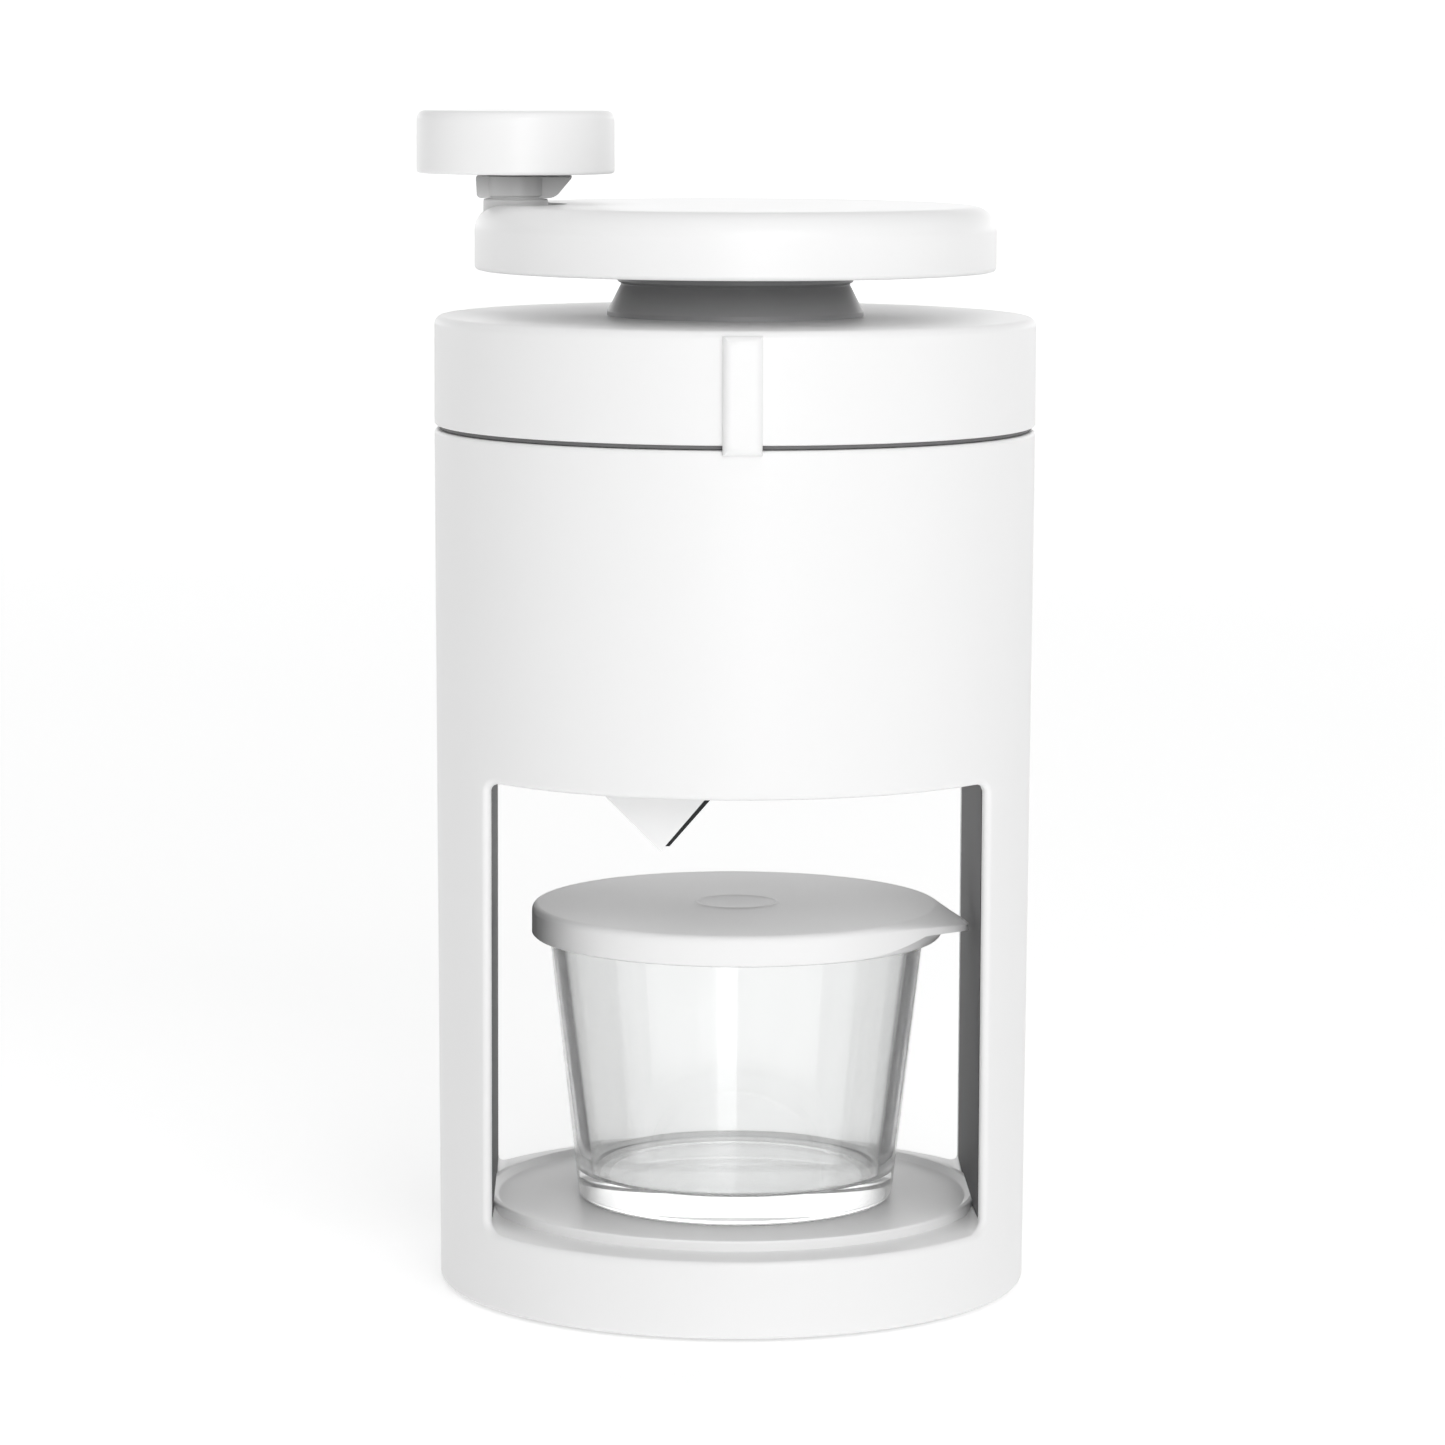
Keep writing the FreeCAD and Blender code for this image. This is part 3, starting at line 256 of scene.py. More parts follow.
def finishMesh(name, bm, body, finish, stands=(), sharp=meshRules["sharp"]):
    joinDoubles(bm)
    bmesh.ops.dissolve_degenerate(bm, edges=bm.edges, dist=meshRules["sliver"])
    bmesh.ops.recalc_face_normals(bm, faces=bm.faces)
    mesh = bpy.data.meshes.new(name)
    bm.to_mesh(mesh)
    bm.free()
    smoothFaces(mesh, sharp)
    mesh.materials.append(finishes[finish])
    piece = link(name, mesh)
    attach(piece, body)
    if stands:
        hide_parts(*stands)
    return piece


def evenNormals(piece):
    weighted = piece.modifiers.new("evenNormals", "WEIGHTED_NORMAL")
    weighted.keep_sharp = True
    weighted.weight = meshRules["weight"]
    return piece


def roundCorners(corners, steps=6, loop=True):
    line = []
    for index, (r, z, size) in enumerate(corners):
        here = Vector((r, z))
        inside = loop or 0 < index < len(corners) - 1
        if size <= 0 or not inside:
            line.append(here)
            continue
        before = (Vector(corners[index - 1][:2]) - here).normalized()
        after = (Vector(corners[(index + 1) % len(corners)][:2]) - here).normalized()
        half = before.angle(after) / 2
        middle = here + (before + after).normalized() * size / math.sin(half)
        first = here + before * size / math.tan(half) - middle
        last = here + after * size / math.tan(half) - middle
        for step in range(steps + 1):
            share = step / steps
            spread = first.angle(last)
            one = math.sin((1 - share) * spread) / math.sin(spread)
            two = math.sin(share * spread) / math.sin(spread)
            line.append(middle + first * one + last * two)
    return line


def grid(bm, rows, closed=False):
    made = [[bm.verts.new(Vector(point) * mm) for point in row] for row in rows]
    pairs = list(zip(made, made[1:]))
    if closed:
        pairs.append((made[-1], made[0]))
    for one, two in pairs:
        for a, b, c, d in zip(one, one[1:], two[1:], two):
            bm.faces.new((a, b, c, d))


def turnInto(bm, corners, centre=(0, 0), segments=144, steps=6, loop=True):
    line = roundCorners(corners, steps, loop)
    if loop:
        line.append(line[0])
    rows = []
    for segment in range(segments):
        angle = 2 * math.pi * segment / segments
        rows.append([(centre[0] + r * math.cos(angle), centre[1] + r * math.sin(angle), z) for r, z in line])
    grid(bm, rows, closed=True)


def turned(name, corners, body, finish, stands=(), centre=(0, 0), segments=144, steps=6):
    bm = bmesh.new()
    turnInto(bm, corners, centre, segments, steps)
    return evenNormals(finishMesh(name, bm, body, finish, stands))


# body shell: one quarter, mirrored front to back and side to side

shell = {
    "footRadius": 64.1, "topRadius": 65.0, "foot": 0.8, "top": 187.0, "bore": 61.8, "rimRound": 0.8,
    "halfWidth": 52.1, "low": 17.3, "high": 114.6, "corner": 2.2, "edgeRound": 1.15,
    "pocket": 54.25, "pocketFloor": 16.5, "shelfBore": 53.0, "shelfTop": 117.0, "underside": 13.3,
    "behindLiner": 53.9, "margin": 6.0, "frameCorner": 3.0,
    "flatSteps": 16, "turnSteps": 4, "tallSteps": 24, "sideSteps": 9, "upperSteps": 10, "lowerSteps": 3,
    "rimSteps": 5, "edgeSteps": 5, "tailSteps": 4, "settle": 12, "probe": 0.01,
}


def skinRadius(z):
    s = shell
    return s["footRadius"] + (s["topRadius"] - s["footRadius"]) * (z - s["foot"]) / (s["top"] - s["foot"])


def skinY(x, z):
    return -math.sqrt(max(skinRadius(z) ** 2 - x * x, 0))


def ringPoint(radius, angle, z):
    return (radius * math.sin(angle), -radius * math.cos(angle), z)


def bayOutline():  # x, z, direction into the wall, and the matching point on the frame around the opening
    s = shell
    flat, turn, tall, cut = s["flatSteps"], s["turnSteps"], s["tallSteps"], s["frameCorner"]
    flatEnd, corner, frameX = s["halfWidth"] - s["corner"], s["corner"], s["halfWidth"] + s["margin"]
    half = []
    for index in range(flat):
        x = flatEnd * index / flat
        half.append((x, 0.0, 0.0, (frameX - cut) * index / flat, 0.0))
    for index in range(turn + 1):
        angle = math.pi / 2 * index / turn
        x, z = flatEnd + corner * math.sin(angle), corner * (1 - math.cos(angle))
        share = index / turn
        outX = frameX - cut + cut * min(2 * share, 1)
        outZ = cut * max(2 * share - 1, 0)
        half.append((x, z, angle, outX, outZ))
    low, high = s["low"], s["high"]
    points = [(x, low + z, math.sin(a), -math.cos(a), ox, low - s["margin"] + oz)
              for x, z, a, ox, oz in half]
    bottomZ, topZ = low + corner, high - corner
    outLow, outHigh = low - s["margin"] + cut, high + s["margin"] - cut
    for index in range(1, tall):
        share = index / tall
        points.append((s["halfWidth"], bottomZ + (topZ - bottomZ) * share, 1.0, 0.0, frameX,
                       outLow + (outHigh - outLow) * share))
    points += [(x, high - z, math.sin(a), math.cos(a), ox, high + s["margin"] - oz)
               for x, z, a, ox, oz in reversed(half)]
    return points


def edgeArc(x, z, dx, dz):  # the rounded edge between the cut face and the curved skin, at one point
    size, steps, probe = shell["edgeRound"], shell["edgeSteps"], shell["probe"]

    def skin(reach):
        return skinY(x + dx * reach, z + dz * reach)

    reach = size
    for _ in range(shell["settle"]):
        slope = (skin(reach + probe) - skin(reach - probe)) / (2 * probe)
        start = skin(reach) - slope * reach
        tilt = math.sqrt(1 + slope * slope)
        centreY = start + slope * size + size * tilt
        reach = size + size * slope / tilt
    last = 2 * math.pi - math.atan2(1, slope)
    arc = []
    for step in range(steps + 1):
        angle = math.pi + (last - math.pi) * step / steps
        out = size + size * math.cos(angle)
        arc.append((x + dx * out, centreY + size * math.sin(angle), z + dz * out))
    return arc


def makeShell():
    s = shell
    bm = bmesh.new()
    outline = bayOutline()
    sidePoints = [i for i, p in enumerate(outline) if abs(p[0] - s["halfWidth"]) < meshRules["same"]]
    rows = []
    for index, (x, z, dx, dz, outX, outZ) in enumerate(outline):
        arc = edgeArc(x, z, dx, dz)
        startY = arc[0][1]
        if index in sidePoints:
            boreY = -math.sqrt(s["bore"] ** 2 - s["halfWidth"] ** 2)
            backY = -math.sqrt(s["bore"] ** 2 - s["behindLiner"] ** 2)
            inner = [(s["behindLiner"], 0, z), (s["behindLiner"], backY, z), (x, boreY, z)]
        elif index < sidePoints[0]:
            pocketY = -math.sqrt(s["pocket"] ** 2 - x * x)
            inner = [(x, 0, s["pocketFloor"]), (x, pocketY, s["pocketFloor"]), (x, pocketY, z)]
        else:
            boreY = -math.sqrt(s["shelfBore"] ** 2 - x * x)
            inner = [(x, boreY, s["shelfTop"]), (x, boreY, z), (x, (boreY + startY) / 2, z)]
        tail = []
        edgeX, edgeZ = arc[-1][0], arc[-1][2]
        for step in range(1, s["tailSteps"] + 1):
            share = step / s["tailSteps"]
            px, pz = edgeX + (outX - edgeX) * share, edgeZ + (outZ - edgeZ) * share
            tail.append((px, skinY(px, pz), pz))
        rows.append(inner + arc + tail)
    grid(bm, rows)

    first = outline[:s["flatSteps"] + s["turnSteps"] // 2 + 1]
    frontX, shelfX = [p[4] for p in first], [p[0] for p in first]
    frameX = frontX[-1]
    frameRows = [p[5] for p in outline if abs(p[4] - frameX) < meshRules["same"]]
    lowZ, highZ = frameRows[0], frameRows[-1]
    extra = s["sideSteps"]

    def column(index, z):  # angle from the front
        radius = skinRadius(z)
        if index < len(frontX):
            return math.asin(min(frontX[index] / radius, 1))
        first = math.asin(frameX / radius)
        return first + (math.pi / 2 - first) * (index - len(frontX) + 1) / extra

    def skinPoint(index, z):
        return ringPoint(skinRadius(z), column(index, z), z)

    columns = len(frontX) + extra
    side = range(len(frontX) - 1, columns)
    grid(bm, [[skinPoint(i, z) for z in frameRows] for i in side])
    rimTop, rimFoot, rim, rimSteps = s["top"], s["foot"], s["rimRound"], s["rimSteps"]
    above, below = s["upperSteps"], s["lowerSteps"]
    upper = [highZ + (rimTop - rim - highZ) * k / above for k in range(above + 1)]
    lower = [rimFoot + rim + (lowZ - rimFoot - rim) * k / below for k in range(below + 1)]
    for i in range(columns - 1):
        strips = []
        for c in (i, i + 1):
            line = [skinPoint(c, z) for z in upper]
            angle = column(c, rimTop - rim)
            for step in range(1, rimSteps + 1):
                turn = math.pi / 2 * step / rimSteps
                radius = skinRadius(rimTop) - rim * (1 - math.cos(turn))
                line.append(ringPoint(radius, angle, rimTop - rim + rim * math.sin(turn)))
            line += [ringPoint(s["bore"], angle, z)
                     for z in (rimTop, (rimTop + s["shelfTop"]) / 2, s["shelfTop"])]
            if c < len(shelfX):
                x = shelfX[c]
            else:
                first = math.asin(shelfX[-1] / s["shelfBore"])
                x = s["shelfBore"] * math.sin(first + (math.pi / 2 - first) * (c - len(shelfX) + 1) / extra)
            y = -math.sqrt(max(s["shelfBore"] ** 2 - x * x, 0))
            line.append((x, y, s["shelfTop"]))
            strips.append(line)
        grid(bm, strips)
        strips = []
        for c in (i, i + 1):
            angle = column(c, rimFoot + rim)
            line = [ringPoint(radius, angle, z) for radius, z in (
                (0.0, s["underside"]), (s["bore"], s["underside"]), (s["bore"], rimFoot))]
            for step in range(rimSteps + 1):
                turn = math.pi / 2 * step / rimSteps
                radius = skinRadius(rimFoot) - rim * (1 - math.sin(turn))
                line.append(ringPoint(radius, angle, rimFoot + rim * (1 - math.cos(turn))))
            line += [skinPoint(c, z) for z in lower[1:]]
            strips.append(line)
        grid(bm, strips)
    for axis in (0, 1):
        whole = bmesh.ops.duplicate(bm, geom=bm.verts[:] + bm.edges[:] + bm.faces[:])
        flip = Matrix.Diagonal((-1, 1, 1, 1) if axis == 0 else (1, -1, 1, 1))
        copied = [item for item in whole["geom"] if isinstance(item, bmesh.types.BMVert)]
        bmesh.ops.transform(bm, matrix=flip, verts=copied)
        joinDoubles(bm)
    return evenNormals(finishMesh("bodyShell", bm, "frame", "satinWhite", ["body_shell"]))


makeShell()

tray = {"radius": 54.2, "bottom": 16.5, "floor": 18.1, "lip": 1.4, "lipInner": 52.8, "slope": 1.3,
        "lipRound": 0.5, "floorRound": 0.8}
lipTop = tray["floor"] + tray["lip"]
# the tray uses the lighter white copy: its extra lightness is painted light in the shaded bay
turned("bowlTray", [
    (0, tray["bottom"], 0), (tray["radius"], tray["bottom"], 0),
    (tray["radius"], lipTop, tray["lipRound"]), (tray["lipInner"], lipTop, tray["lipRound"]),
    (tray["lipInner"] - tray["slope"], tray["floor"], tray["floorRound"]), (0, tray["floor"], 0)],
    "frame", "bayWhitePaintedLight", ["bowl_tray"])
print("body done")


# lid, seal, rib and collar

lid = {"radius": 65.0, "low": 188.0, "top": 211.4, "round": 1.8, "lowRound": 0.5, "wall": 2.6, "roof": 2.4,
       "bore": 10.16, "hub": 14.0, "hubDrop": 6.0, "roundSteps": 8}
rib = {"half": 4.1, "front": -67.5, "back": -63.0, "low": 186.0, "high": 210.5, "round": 1.9, "roundSteps": 7,
       "standOff": 65.12}


def makeLid():
    bm = bmesh.new()
    ceiling = lid["top"] - lid["roof"]
    inner = lid["radius"] - lid["wall"]
    turnInto(bm, [
        (lid["radius"], lid["low"], lid["lowRound"]), (lid["radius"], lid["top"], lid["round"]),
        (lid["bore"], lid["top"], 0), (lid["bore"], ceiling - lid["hubDrop"], 0),
        (lid["hub"], ceiling - lid["hubDrop"], 0), (lid["hub"], ceiling, 0), (inner, ceiling, 0),
        (inner, lid["low"], 0)], steps=lid["roundSteps"])
    bar = bmesh.new()
    corners = bmesh.ops.create_cube(bar, size=1)["verts"]
    for vert in corners:
        x, y, z = vert.co
        vert.co = (2 * x * rib["half"] * mm, (rib["front"] if y < 0 else rib["back"]) * mm,
                   (rib["low"] if z < 0 else rib["high"]) * mm)
    frontY = rib["front"] * mm + meshRules["same"]
    front = [edge for edge in bar.edges if all(vert.co.y < frontY for vert in edge.verts)]
    bevelEdges(bar, front, rib["round"], rib["roundSteps"])
    for vert in bar.verts:  # the part below the lid stands clear of the body
        reach = vert.co.xy.length / mm
        if reach < rib["standOff"] and vert.co.z < lid["low"] * mm:
            vert.co.y = -math.sqrt(rib["standOff"] ** 2 - (vert.co.x / mm) ** 2) * mm
    carrier = bpy.data.meshes.new("ribCarrier")
    bar.to_mesh(carrier)
    bar.free()
    bm.from_mesh(carrier)
    bpy.data.meshes.remove(carrier)
    return evenNormals(finishMesh("lidShell", bm, "lid", "satinWhite", ["lid_shell"]))


makeLid()

seal = {"inner": 59.0, "outer": 64.0, "low": 187.1, "innerRound": 0.2, "outerRound": 0.35}
turned("lidSeal", [
    (seal["inner"], seal["low"], seal["innerRound"]), (seal["outer"], seal["low"], seal["outerRound"]),
    (seal["outer"], lid["low"], 0), (seal["inner"], lid["low"], 0)],
    "lid", "sealRubber", ["lid_seal"], steps=3)

collar = {"foot": 27.7, "footEdge": 1.0, "footRound": 0.5, "skirt": 26.5, "skirtRise": 3.2, "waist": 25.1,
          "waistDrop": 2.5, "sweep": 1.5, "groove": 24.6, "grooveDrop": 1.6, "band": 25.5, "bandDrop": 1.1,
          "edge": 0.3, "top": 219.9}
# the collar's finish carries painted shade: darker towards the top under the disc
turned("bearingCollar", [
    (lid["bore"], lid["top"], 0), (collar["foot"], lid["top"], 0),
    (collar["foot"], lid["top"] + collar["footEdge"], collar["footRound"]),
    (collar["skirt"], lid["top"] + collar["skirtRise"], collar["sweep"]),
    (collar["waist"], collar["top"] - collar["waistDrop"], collar["sweep"]),
    (collar["groove"], collar["top"] - collar["grooveDrop"], collar["edge"]),
    (collar["band"], collar["top"] - collar["bandDrop"], collar["edge"]),
    (collar["band"], collar["top"], collar["edge"]), (lid["bore"], collar["top"], 0)],
    "lid", "collarGreyPaintedShade", ["bearing_collar"], steps=4)
print("lid done")


# crank disc with the pocket that the knob post stands in

disc = {"radius": 56.3, "low": 221.2, "top": 235.2, "topRound": 5.4, "lowRound": 1.0, "wall": 2.4,
        "ceiling": 231.0, "hub": 13.0, "bore": 8.05, "hubLow": 223.2, "segments": 192, "roundSteps": 10}
pocket = {"x": -47.4, "radius": 8.2, "floor": 231.6, "floorRound": 1.2, "flare": 3.4, "past": 0.6,
          "clear": 3.0, "segments": 96, "roundSteps": 6}


def makeDisc():
    bm = bmesh.new()
    inner = disc["radius"] - disc["wall"]
    turnInto(bm, [
        (disc["radius"], disc["low"], disc["lowRound"]), (disc["radius"], disc["top"], disc["topRound"]),
        (0, disc["top"], 0), (0, disc["ceiling"], 0), (disc["bore"], disc["ceiling"], 0),
        (disc["bore"], disc["hubLow"], 0), (disc["hub"], disc["hubLow"], 0),
        (disc["hub"], disc["ceiling"], 0), (inner, disc["ceiling"], 0), (inner, disc["low"], 0)],
        segments=disc["segments"], steps=disc["roundSteps"])
    piece = finishMesh("crankDisc", bm, "crank", "discWhite", ["crank_disc"])
    cutter = bmesh.new()
    mouth, clear = pocket["radius"] + pocket["flare"], disc["top"] + pocket["clear"]
    turnInto(cutter, [
        (0, pocket["floor"], 0), (pocket["radius"], pocket["floor"], pocket["floorRound"]),
        (mouth, disc["top"] + pocket["past"], 0), (mouth, clear, 0), (0, clear, 0)],
        (pocket["x"], 0), pocket["segments"], pocket["roundSteps"])
    joinDoubles(cutter)
    bmesh.ops.recalc_face_normals(cutter, faces=cutter.faces)
    mesh = bpy.data.meshes.new("pocketCutter")
    cutter.to_mesh(mesh)
    cutter.free()
    tool = link("pocketCutter", mesh)
    cut = piece.modifiers.new("pocket", "BOOLEAN")
    cut.operation = "DIFFERENCE"
    cut.solver = "EXACT"
    cut.object = tool
    bpy.context.view_layer.update()
    depsgraph = bpy.context.evaluated_depsgraph_get()
    done = bpy.data.meshes.new_from_object(piece.evaluated_get(depsgraph))
    piece.modifiers.clear()
    old, piece.data = piece.data, done
    bpy.data.meshes.remove(old)
    bpy.data.objects.remove(tool)
    bpy.data.meshes.remove(mesh)
    smoothFaces(piece.data)
    return evenNormals(piece)


makeDisc()

post = {"x": -47.4, "pedestal": 7.0, "radius": 6.45, "floor": 231.6, "shoulder": 236.3, "shoulderRound": 0.45,
        "grooveDepth": 0.5, "grooveTop": 236.9, "grooveRound": 0.25, "top": 241.2, "edge": 0.2, "stub": 4.5,
        "stubLow": 226.6, "spindle": 4.0, "spindleTop": 250.5}
neck = post["radius"] - post["grooveDepth"]
# the post's grey, darker at the top, is painted shade under the knob
turned("knobPost", [
    (0, post["stubLow"], 0), (post["stub"], post["stubLow"], post["edge"]), (post["stub"], post["floor"], 0),
    (post["pedestal"], post["floor"], 0), (post["pedestal"], post["shoulder"], post["shoulderRound"]),
    (neck, post["shoulder"], 0), (neck, post["grooveTop"], 0),
    (post["radius"], post["grooveTop"], post["grooveRound"]), (post["radius"], post["top"], post["edge"]),
    (post["spindle"], post["top"], 0), (post["spindle"], post["spindleTop"], post["edge"]),
    (0, post["spindleTop"], 0)],
    "crank", "postPaintedShadeGrey", ["knob_post"], (post["x"], 0), 96, 4)

wing = {"front": -3.0, "back": 9.0, "edge": 0.5, "outline": [
    (-55.7, 236.5, 0.9), (-38.9, 236.5, 3.2), (-35.0, 241.2, 0.3), (-55.9, 241.2, 0.3)]}


def makeWing():
    bm = bmesh.new()
    line = roundCorners(wing["outline"])
    front, back = ([bm.verts.new(Vector((x, y, z)) * mm) for x, z in line]
                   for y in (wing["front"], wing["back"]))
    bm.faces.new(front)
    bm.faces.new(back)
    for index in range(len(line)):
        bm.faces.new((front[index - 1], front[index], back[index], back[index - 1]))
    rims = [edge for edge in bm.edges if abs(edge.verts[0].co.y - edge.verts[1].co.y) < meshRules["sliver"]]
    bevelEdges(bm, rims, wing["edge"])
    # the bracket's grey is painted shade under the knob
    piece = finishMesh("knobBracket", bm, "crank", "postPaintedShadeGrey", ["knob_bracket"])
    return evenNormals(piece)


makeWing()

spring = {"radius": 13.1, "wire": 0.8, "low": 131.7, "high": 199.0, "turns": 9, "closed": 0.9, "kept": 0.40,
          "around": 40, "ring": 14}


def makeSpring():
    bm = bmesh.new()
    around, ring, wire = spring["around"], spring["ring"], spring["wire"]
    steps = spring["turns"] * around
    lie = spring["closed"] * around  # the end turns lie nearly flat
    low, high = spring["low"] + wire, spring["high"] - wire
    rows = []
    for step in range(steps + 1):
        angle = 2 * math.pi * step / around
        share = min(max((step - lie) / (steps - 2 * lie), 0), 1)
        flat = wire * (min(step / lie, 1) + max((step - steps + lie) / lie, 0))
        z = low + flat + (high - low - 2 * wire) * share
        row = []
        for index in range(ring + 1):
            turn = 2 * math.pi * index / ring
            r = spring["radius"] + wire * math.cos(turn)
            row.append((r * math.cos(angle), r * math.sin(angle), z + wire * math.sin(turn)))
        rows.append(row)
    grid(bm, rows)
    joinDoubles(bm)
    bmesh.ops.holes_fill(bm, edges=[edge for edge in bm.edges if edge.is_boundary], sides=0)
    piece = finishMesh("presserSpring", bm, "crank", "steel", ["presser_spring"])
    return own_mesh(piece)


makeSpring()

knob = {"x": -47.4, "radius": 21.35, "low": 241.8, "top": 255.3, "topRound": 2.0, "lowRound": 0.8,
        "wall": 2.3, "innerRound": 0.6, "mouthRound": 0.3}
knobInner, knobCeiling = knob["radius"] - knob["wall"], knob["top"] - knob["wall"]
turned("crankKnob", [
    (knob["radius"], knob["low"], knob["lowRound"]), (knob["radius"], knob["top"], knob["topRound"]),
    (0, knob["top"], 0), (0, knobCeiling, 0), (knobInner, knobCeiling, knob["innerRound"]),
    (knobInner, knob["low"], knob["mouthRound"])],
    "knob", "knobWhite", ["crank_knob"], (knob["x"], 0), 144, 7)
print("crank done")


# glass bowl and its cover

bowl = {"x": 0.8, "floor": 18.1, "foot": 34.4, "footRound": 1.5, "hollow": 0.6, "hollowRadius": 27.9,
        "hollowRound": 2.0, "ringRadius": 30.2, "ringRound": 1.0, "rim": 41.1, "top": 81.0, "bead": 1.2,
        "beadHeight": 3.4, "beadSlope": 0.8, "rimRound": 1.0, "mouth": 38.8, "mouthRound": 0.9, "base": 6.2,
        "innerFoot": 31.6, "innerRound": 1.3}
beadRadius, beadLow = bowl["rim"] + bowl["bead"], bowl["top"] - bowl["beadHeight"]
innerFloor, hollowTop = bowl["floor"] + bowl["base"], bowl["floor"] + bowl["hollow"]
turned("glassBowl", [
    (0, hollowTop, 0), (bowl["hollowRadius"], hollowTop, bowl["hollowRound"]),
    (bowl["ringRadius"], bowl["floor"], bowl["ringRound"]), (bowl["foot"], bowl["floor"], bowl["footRound"]),
    (bowl["rim"], beadLow - bowl["beadSlope"], bowl["beadSlope"]), (beadRadius, beadLow, bowl["beadSlope"]),
    (beadRadius, bowl["top"], bowl["rimRound"]), (bowl["mouth"], bowl["top"], bowl["mouthRound"]),
    (bowl["innerFoot"], innerFloor, bowl["innerRound"]), (0, innerFloor, 0)],
    "bowl", "glass", ["glass_bowl"], (bowl["x"], 0), 192, 8)

cover = {"x": 0.8, "radius": 44.8, "grip": 42.6, "low": 76.3, "top": 83.0, "round": 1.5, "under": 81.1,
         "tip": 54.1, "tipSoft": 2.2, "tipTop": 81.9, "tipLow": 79.9, "rootLow": 77.0, "turn": -20.0,
         "ring": 9.0, "ringWidth": 0.5, "ringRise": 0.25, "middle": 0.6, "noseThin": 0.45, "skirtEdge": 0.4,
         "tabGrow": 3, "arch": 3, "archSteps": 4, "roundSteps": 7, "segments": 216, "sharp": 50}


def makeCover():
    bm = bmesh.new()
    rows = []
    tangent = math.acos(cover["radius"] / cover["tip"])
    top, ring, wide, rise = cover["top"], cover["ring"], cover["ringWidth"], cover["ringRise"]
    under = cover["low"] + cover["skirtEdge"]
    corners = [(0, top, 0), (cover["radius"], top, cover["round"]), (cover["radius"], cover["low"], 0)]
    arc = roundCorners(corners, cover["roundSteps"], False)[1:-1]
    for segment in range(cover["segments"]):
        angle = 2 * math.pi * segment / cover["segments"] - math.pi
        away = math.sqrt(angle * angle + math.radians(cover["tipSoft"]) ** 2)
        reach = cover["radius"]
        if away < tangent:
            reach = max(cover["radius"], cover["radius"] / math.cos(tangent - away))
        tab = reach - cover["radius"]
        share = tab / (cover["tip"] - cover["radius"])
        line = [(0, top), (ring - wide * 2, top), (ring - wide, top + rise), (ring, top + rise),
                (ring + wide, top), (cover["radius"] * cover["middle"], top)]
        drop = (top - cover["tipTop"]) * share
        nose = cover["round"] * (1 - cover["noseThin"] * share)
        for r, z in arc:  # the rounded edge runs out along the tab and closes on its nose
            outward, down = (r - cover["radius"] + cover["round"]) / cover["round"], top - z
            line.append((cover["radius"] - cover["round"] + tab * outward ** 2 + outward * cover["round"],
                         top - drop * outward - down * nose / cover["round"]))
        grown = min(share * cover["tabGrow"], 1)
        noseLow = under + (cover["tipLow"] - under) * grown
        rootLow = under + (cover["rootLow"] - under) * grown
        for step in range(cover["archSteps"] + 1):  # concave underside from the nose back to the skirt
            along = step / cover["archSteps"]
            line.append((cover["radius"] + tab * (1 - along),
                         noseLow + (rootLow - noseLow) * along ** cover["arch"]))
        line += [(cover["radius"], under), (cover["radius"] - cover["skirtEdge"], cover["low"]),
                 (cover["grip"], cover["low"]), (cover["grip"], cover["under"]), (0, cover["under"])]
        turn = angle + math.radians(cover["turn"])
        rows.append([(cover["x"] + r * math.cos(turn), r * math.sin(turn), z) for r, z in line])
    grid(bm, rows, closed=True)
    return evenNormals(finishMesh(
        "bowlCover", bm, "bowl_cover", "paleSilicone", ["bowl_lid"], cover["sharp"]))


makeCover()
print("bowl done")


# parts that keep their own shape and get their finish here

keptFinish = {
    "darkSteel": ["blade"],
    "steel": ["blade_screws", "base_screws", "lid_screws", "crank_screws", "post_screw", "knob_screw",
              "ice_spikes", "retaining_clip", "spring_washer", "presser_stem", "drive_tube"],
    # the liners' dark grey is partly painted shade inside the pillars
    "linerGreyPaintedShade": ["pillar_liner_left", "pillar_liner_right"],
    # these parts sit in shade and use the lighter white copy, whose extra lightness is painted light
    "bayWhitePaintedLight": ["ice_hopper", "lid_liner", "base_plate", "crank_underplate", "knob_base"],
    "presserGrey": ["press_plate", "shaft_bush"],
    "darkRubber": ["foot_pad"],
}
for finish, names in keptFinish.items():
    for name in names:
        mesh = nodes[name].data
        mesh.materials.clear()
        mesh.materials.append(finishes[finish])

softEdges = {"ice_hopper": 0.35, "press_plate": 0.5, "lid_liner": 0.3, "base_plate": 0.4}
softRules = {"weld": 1e-5, "segments": 3, "angle": 40}
for name, size in softEdges.items():
    weld = nodes[name].modifiers.new("weld", "WELD")
    weld.merge_threshold = softRules["weld"]
    bevel = nodes[name].modifiers.new("softEdge", "BEVEL")
    bevel.width = size * mm
    bevel.segments = softRules["segments"]
    bevel.limit_method = "ANGLE"
    bevel.angle_limit = math.radians(softRules["angle"])
    bevel.use_clamp_overlap = True
    bevel.harden_normals = True
print("kept parts finished")


# floor, light and camera

floorLook = {"size": 30.0, "cloud": (3, 2), "low": [0.90] * 3, "high": [0.92] * 3, "roughness": 0.7,
             "swing": 0.05, "shine": 0.1, "near": [0.28] * 3, "far": [0.54] * 3, "reach": 0.25,
             "ramp": (0.1, 0.9)}


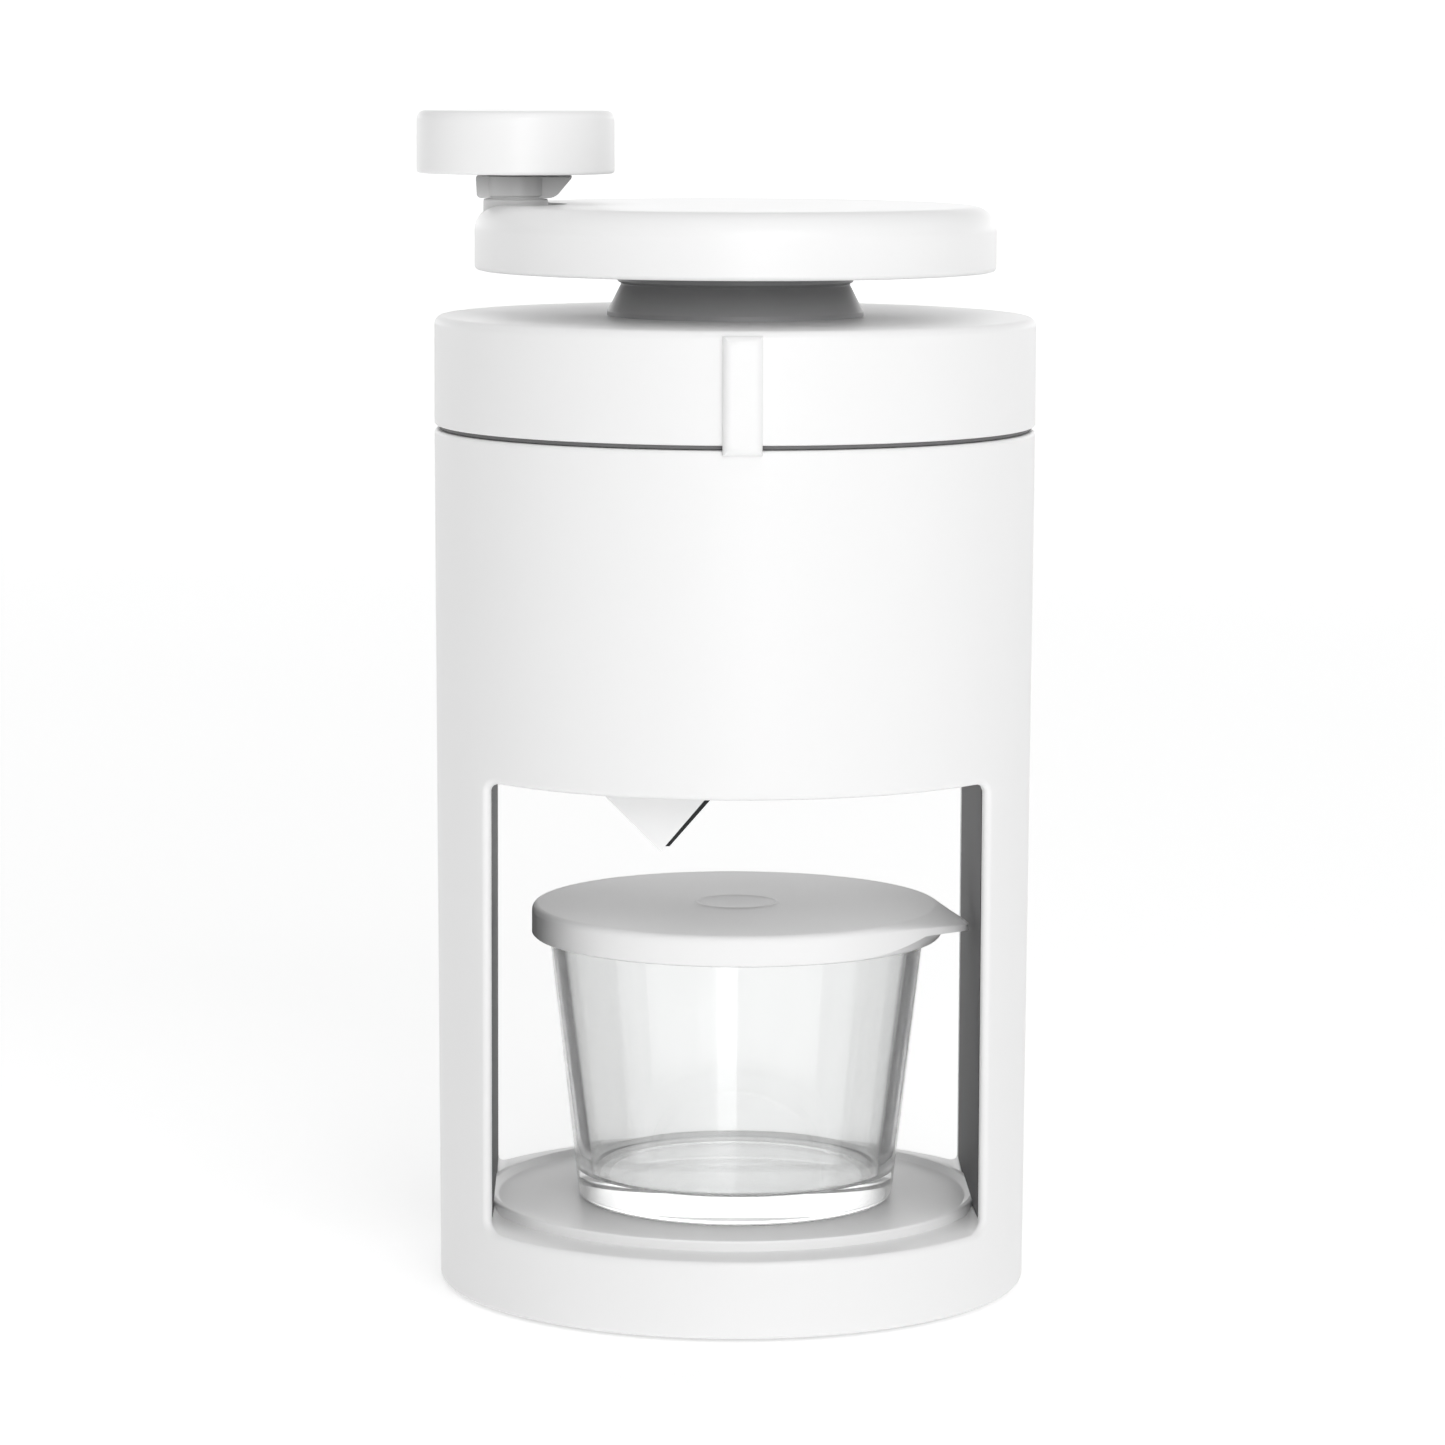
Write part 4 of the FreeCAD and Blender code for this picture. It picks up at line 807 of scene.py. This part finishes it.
def makeFloor():
    mesh = bpy.data.meshes.new("studioFloor")
    size = floorLook["size"]
    corners = [(-size, -size, 0), (size, -size, 0), (size, size, 0), (-size, size, 0)]
    mesh.from_pydata(corners, [], [(0, 1, 2, 3)])
    recipe = newMaterial("studioFloor")
    cloud = recipe.noise(*floorLook["cloud"])
    reach = recipe.node("ShaderNodeVectorMath", {"operation": "LENGTH"}, {0: recipe.place}, "Value")
    far = recipe.ramp(reach * floorLook["reach"], *floorLook["ramp"])
    mesh.materials.append(recipe.surface({
        "Base Color": recipe.blend(cloud, floorLook["low"], floorLook["high"]),
        "Roughness": floorLook["roughness"] + floorLook["swing"] * cloud,
        "Specular IOR Level": floorLook["shine"],
        "Emission Color": recipe.blend(far, floorLook["near"], floorLook["far"]),
        "Emission Strength": 1.0,
    }))
    floor = link("studioFloor", mesh)


makeFloor()

lightAim = Vector((0, 0, 0.13))
softboxes = {  # position, width and height, power
    "keyBox": ((0.5, -1.9, 0.9), (1.1, 1.1), 10.8),
    "topBox": ((0.15, -0.45, 1.7), (1.4, 1.4), 4.6),
    "stripBox": ((0.2, -2.2, 0.45), (0.6, 1.2), 6.0),
}
for name, (position, size, power) in softboxes.items():
    light = bpy.data.lights.new(name, "AREA")
    light.shape = "RECTANGLE"
    light.size, light.size_y = size
    light.energy = power
    holder = link(name, light)
    holder.location = position
    holder.rotation_euler = (lightAim - Vector(position)).to_track_quat("-Z", "Y").to_euler()

sky = {"front": [0.0] * 3, "back": [2.1] * 3, "above": [0.61] * 3, "depthRamp": (0.4, 0.85),
       "heightRamp": (0.12, 0.4)}
studio = bpy.data.worlds.new("studio")
recipe = Recipe(studio, "Generated")
depth, height = (recipe.node("ShaderNodeSeparateXYZ", {}, {0: recipe.place}, axis) for axis in (1, 2))
horizon = recipe.blend(recipe.ramp(depth, *sky["depthRamp"]), sky["front"], sky["back"])
overhead = recipe.ramp(height, *sky["heightRamp"])
dome = recipe.node("ShaderNodeBackground", {}, {"Color": recipe.blend(overhead, horizon, sky["above"])})
recipe.node("ShaderNodeOutputWorld", {}, {"Surface": dome})
bpy.context.scene.world = studio

view = {"place": (-0.02756, -1.1379, 0.2696), "yaw": 1.2657, "pitch": 7.356, "roll": 0.229, "lens": 131.03,
        "sensor": 36.0, "farthest": 50}
yaw, pitch, roll = (math.radians(view[key]) for key in ("yaw", "pitch", "roll"))
ahead = Vector((math.sin(yaw) * math.cos(pitch), math.cos(yaw) * math.cos(pitch), -math.sin(pitch)))
level = Vector((math.cos(yaw), -math.sin(yaw), 0))
right = level * math.cos(roll) + level.cross(ahead) * math.sin(roll)
up = right.cross(ahead)
lens = bpy.data.cameras.new("studioCamera")
lens.lens = view["lens"]
lens.sensor_width = view["sensor"]
lens.clip_end = view["farthest"]
camera = link("studioCamera", lens)
camera.matrix_world = Matrix.Translation(view["place"]) @ Matrix((right, up, -ahead)).transposed().to_4x4()
bpy.context.scene.camera = camera
bpy.context.scene.view_settings.view_transform = "Standard"
print("studio ready")
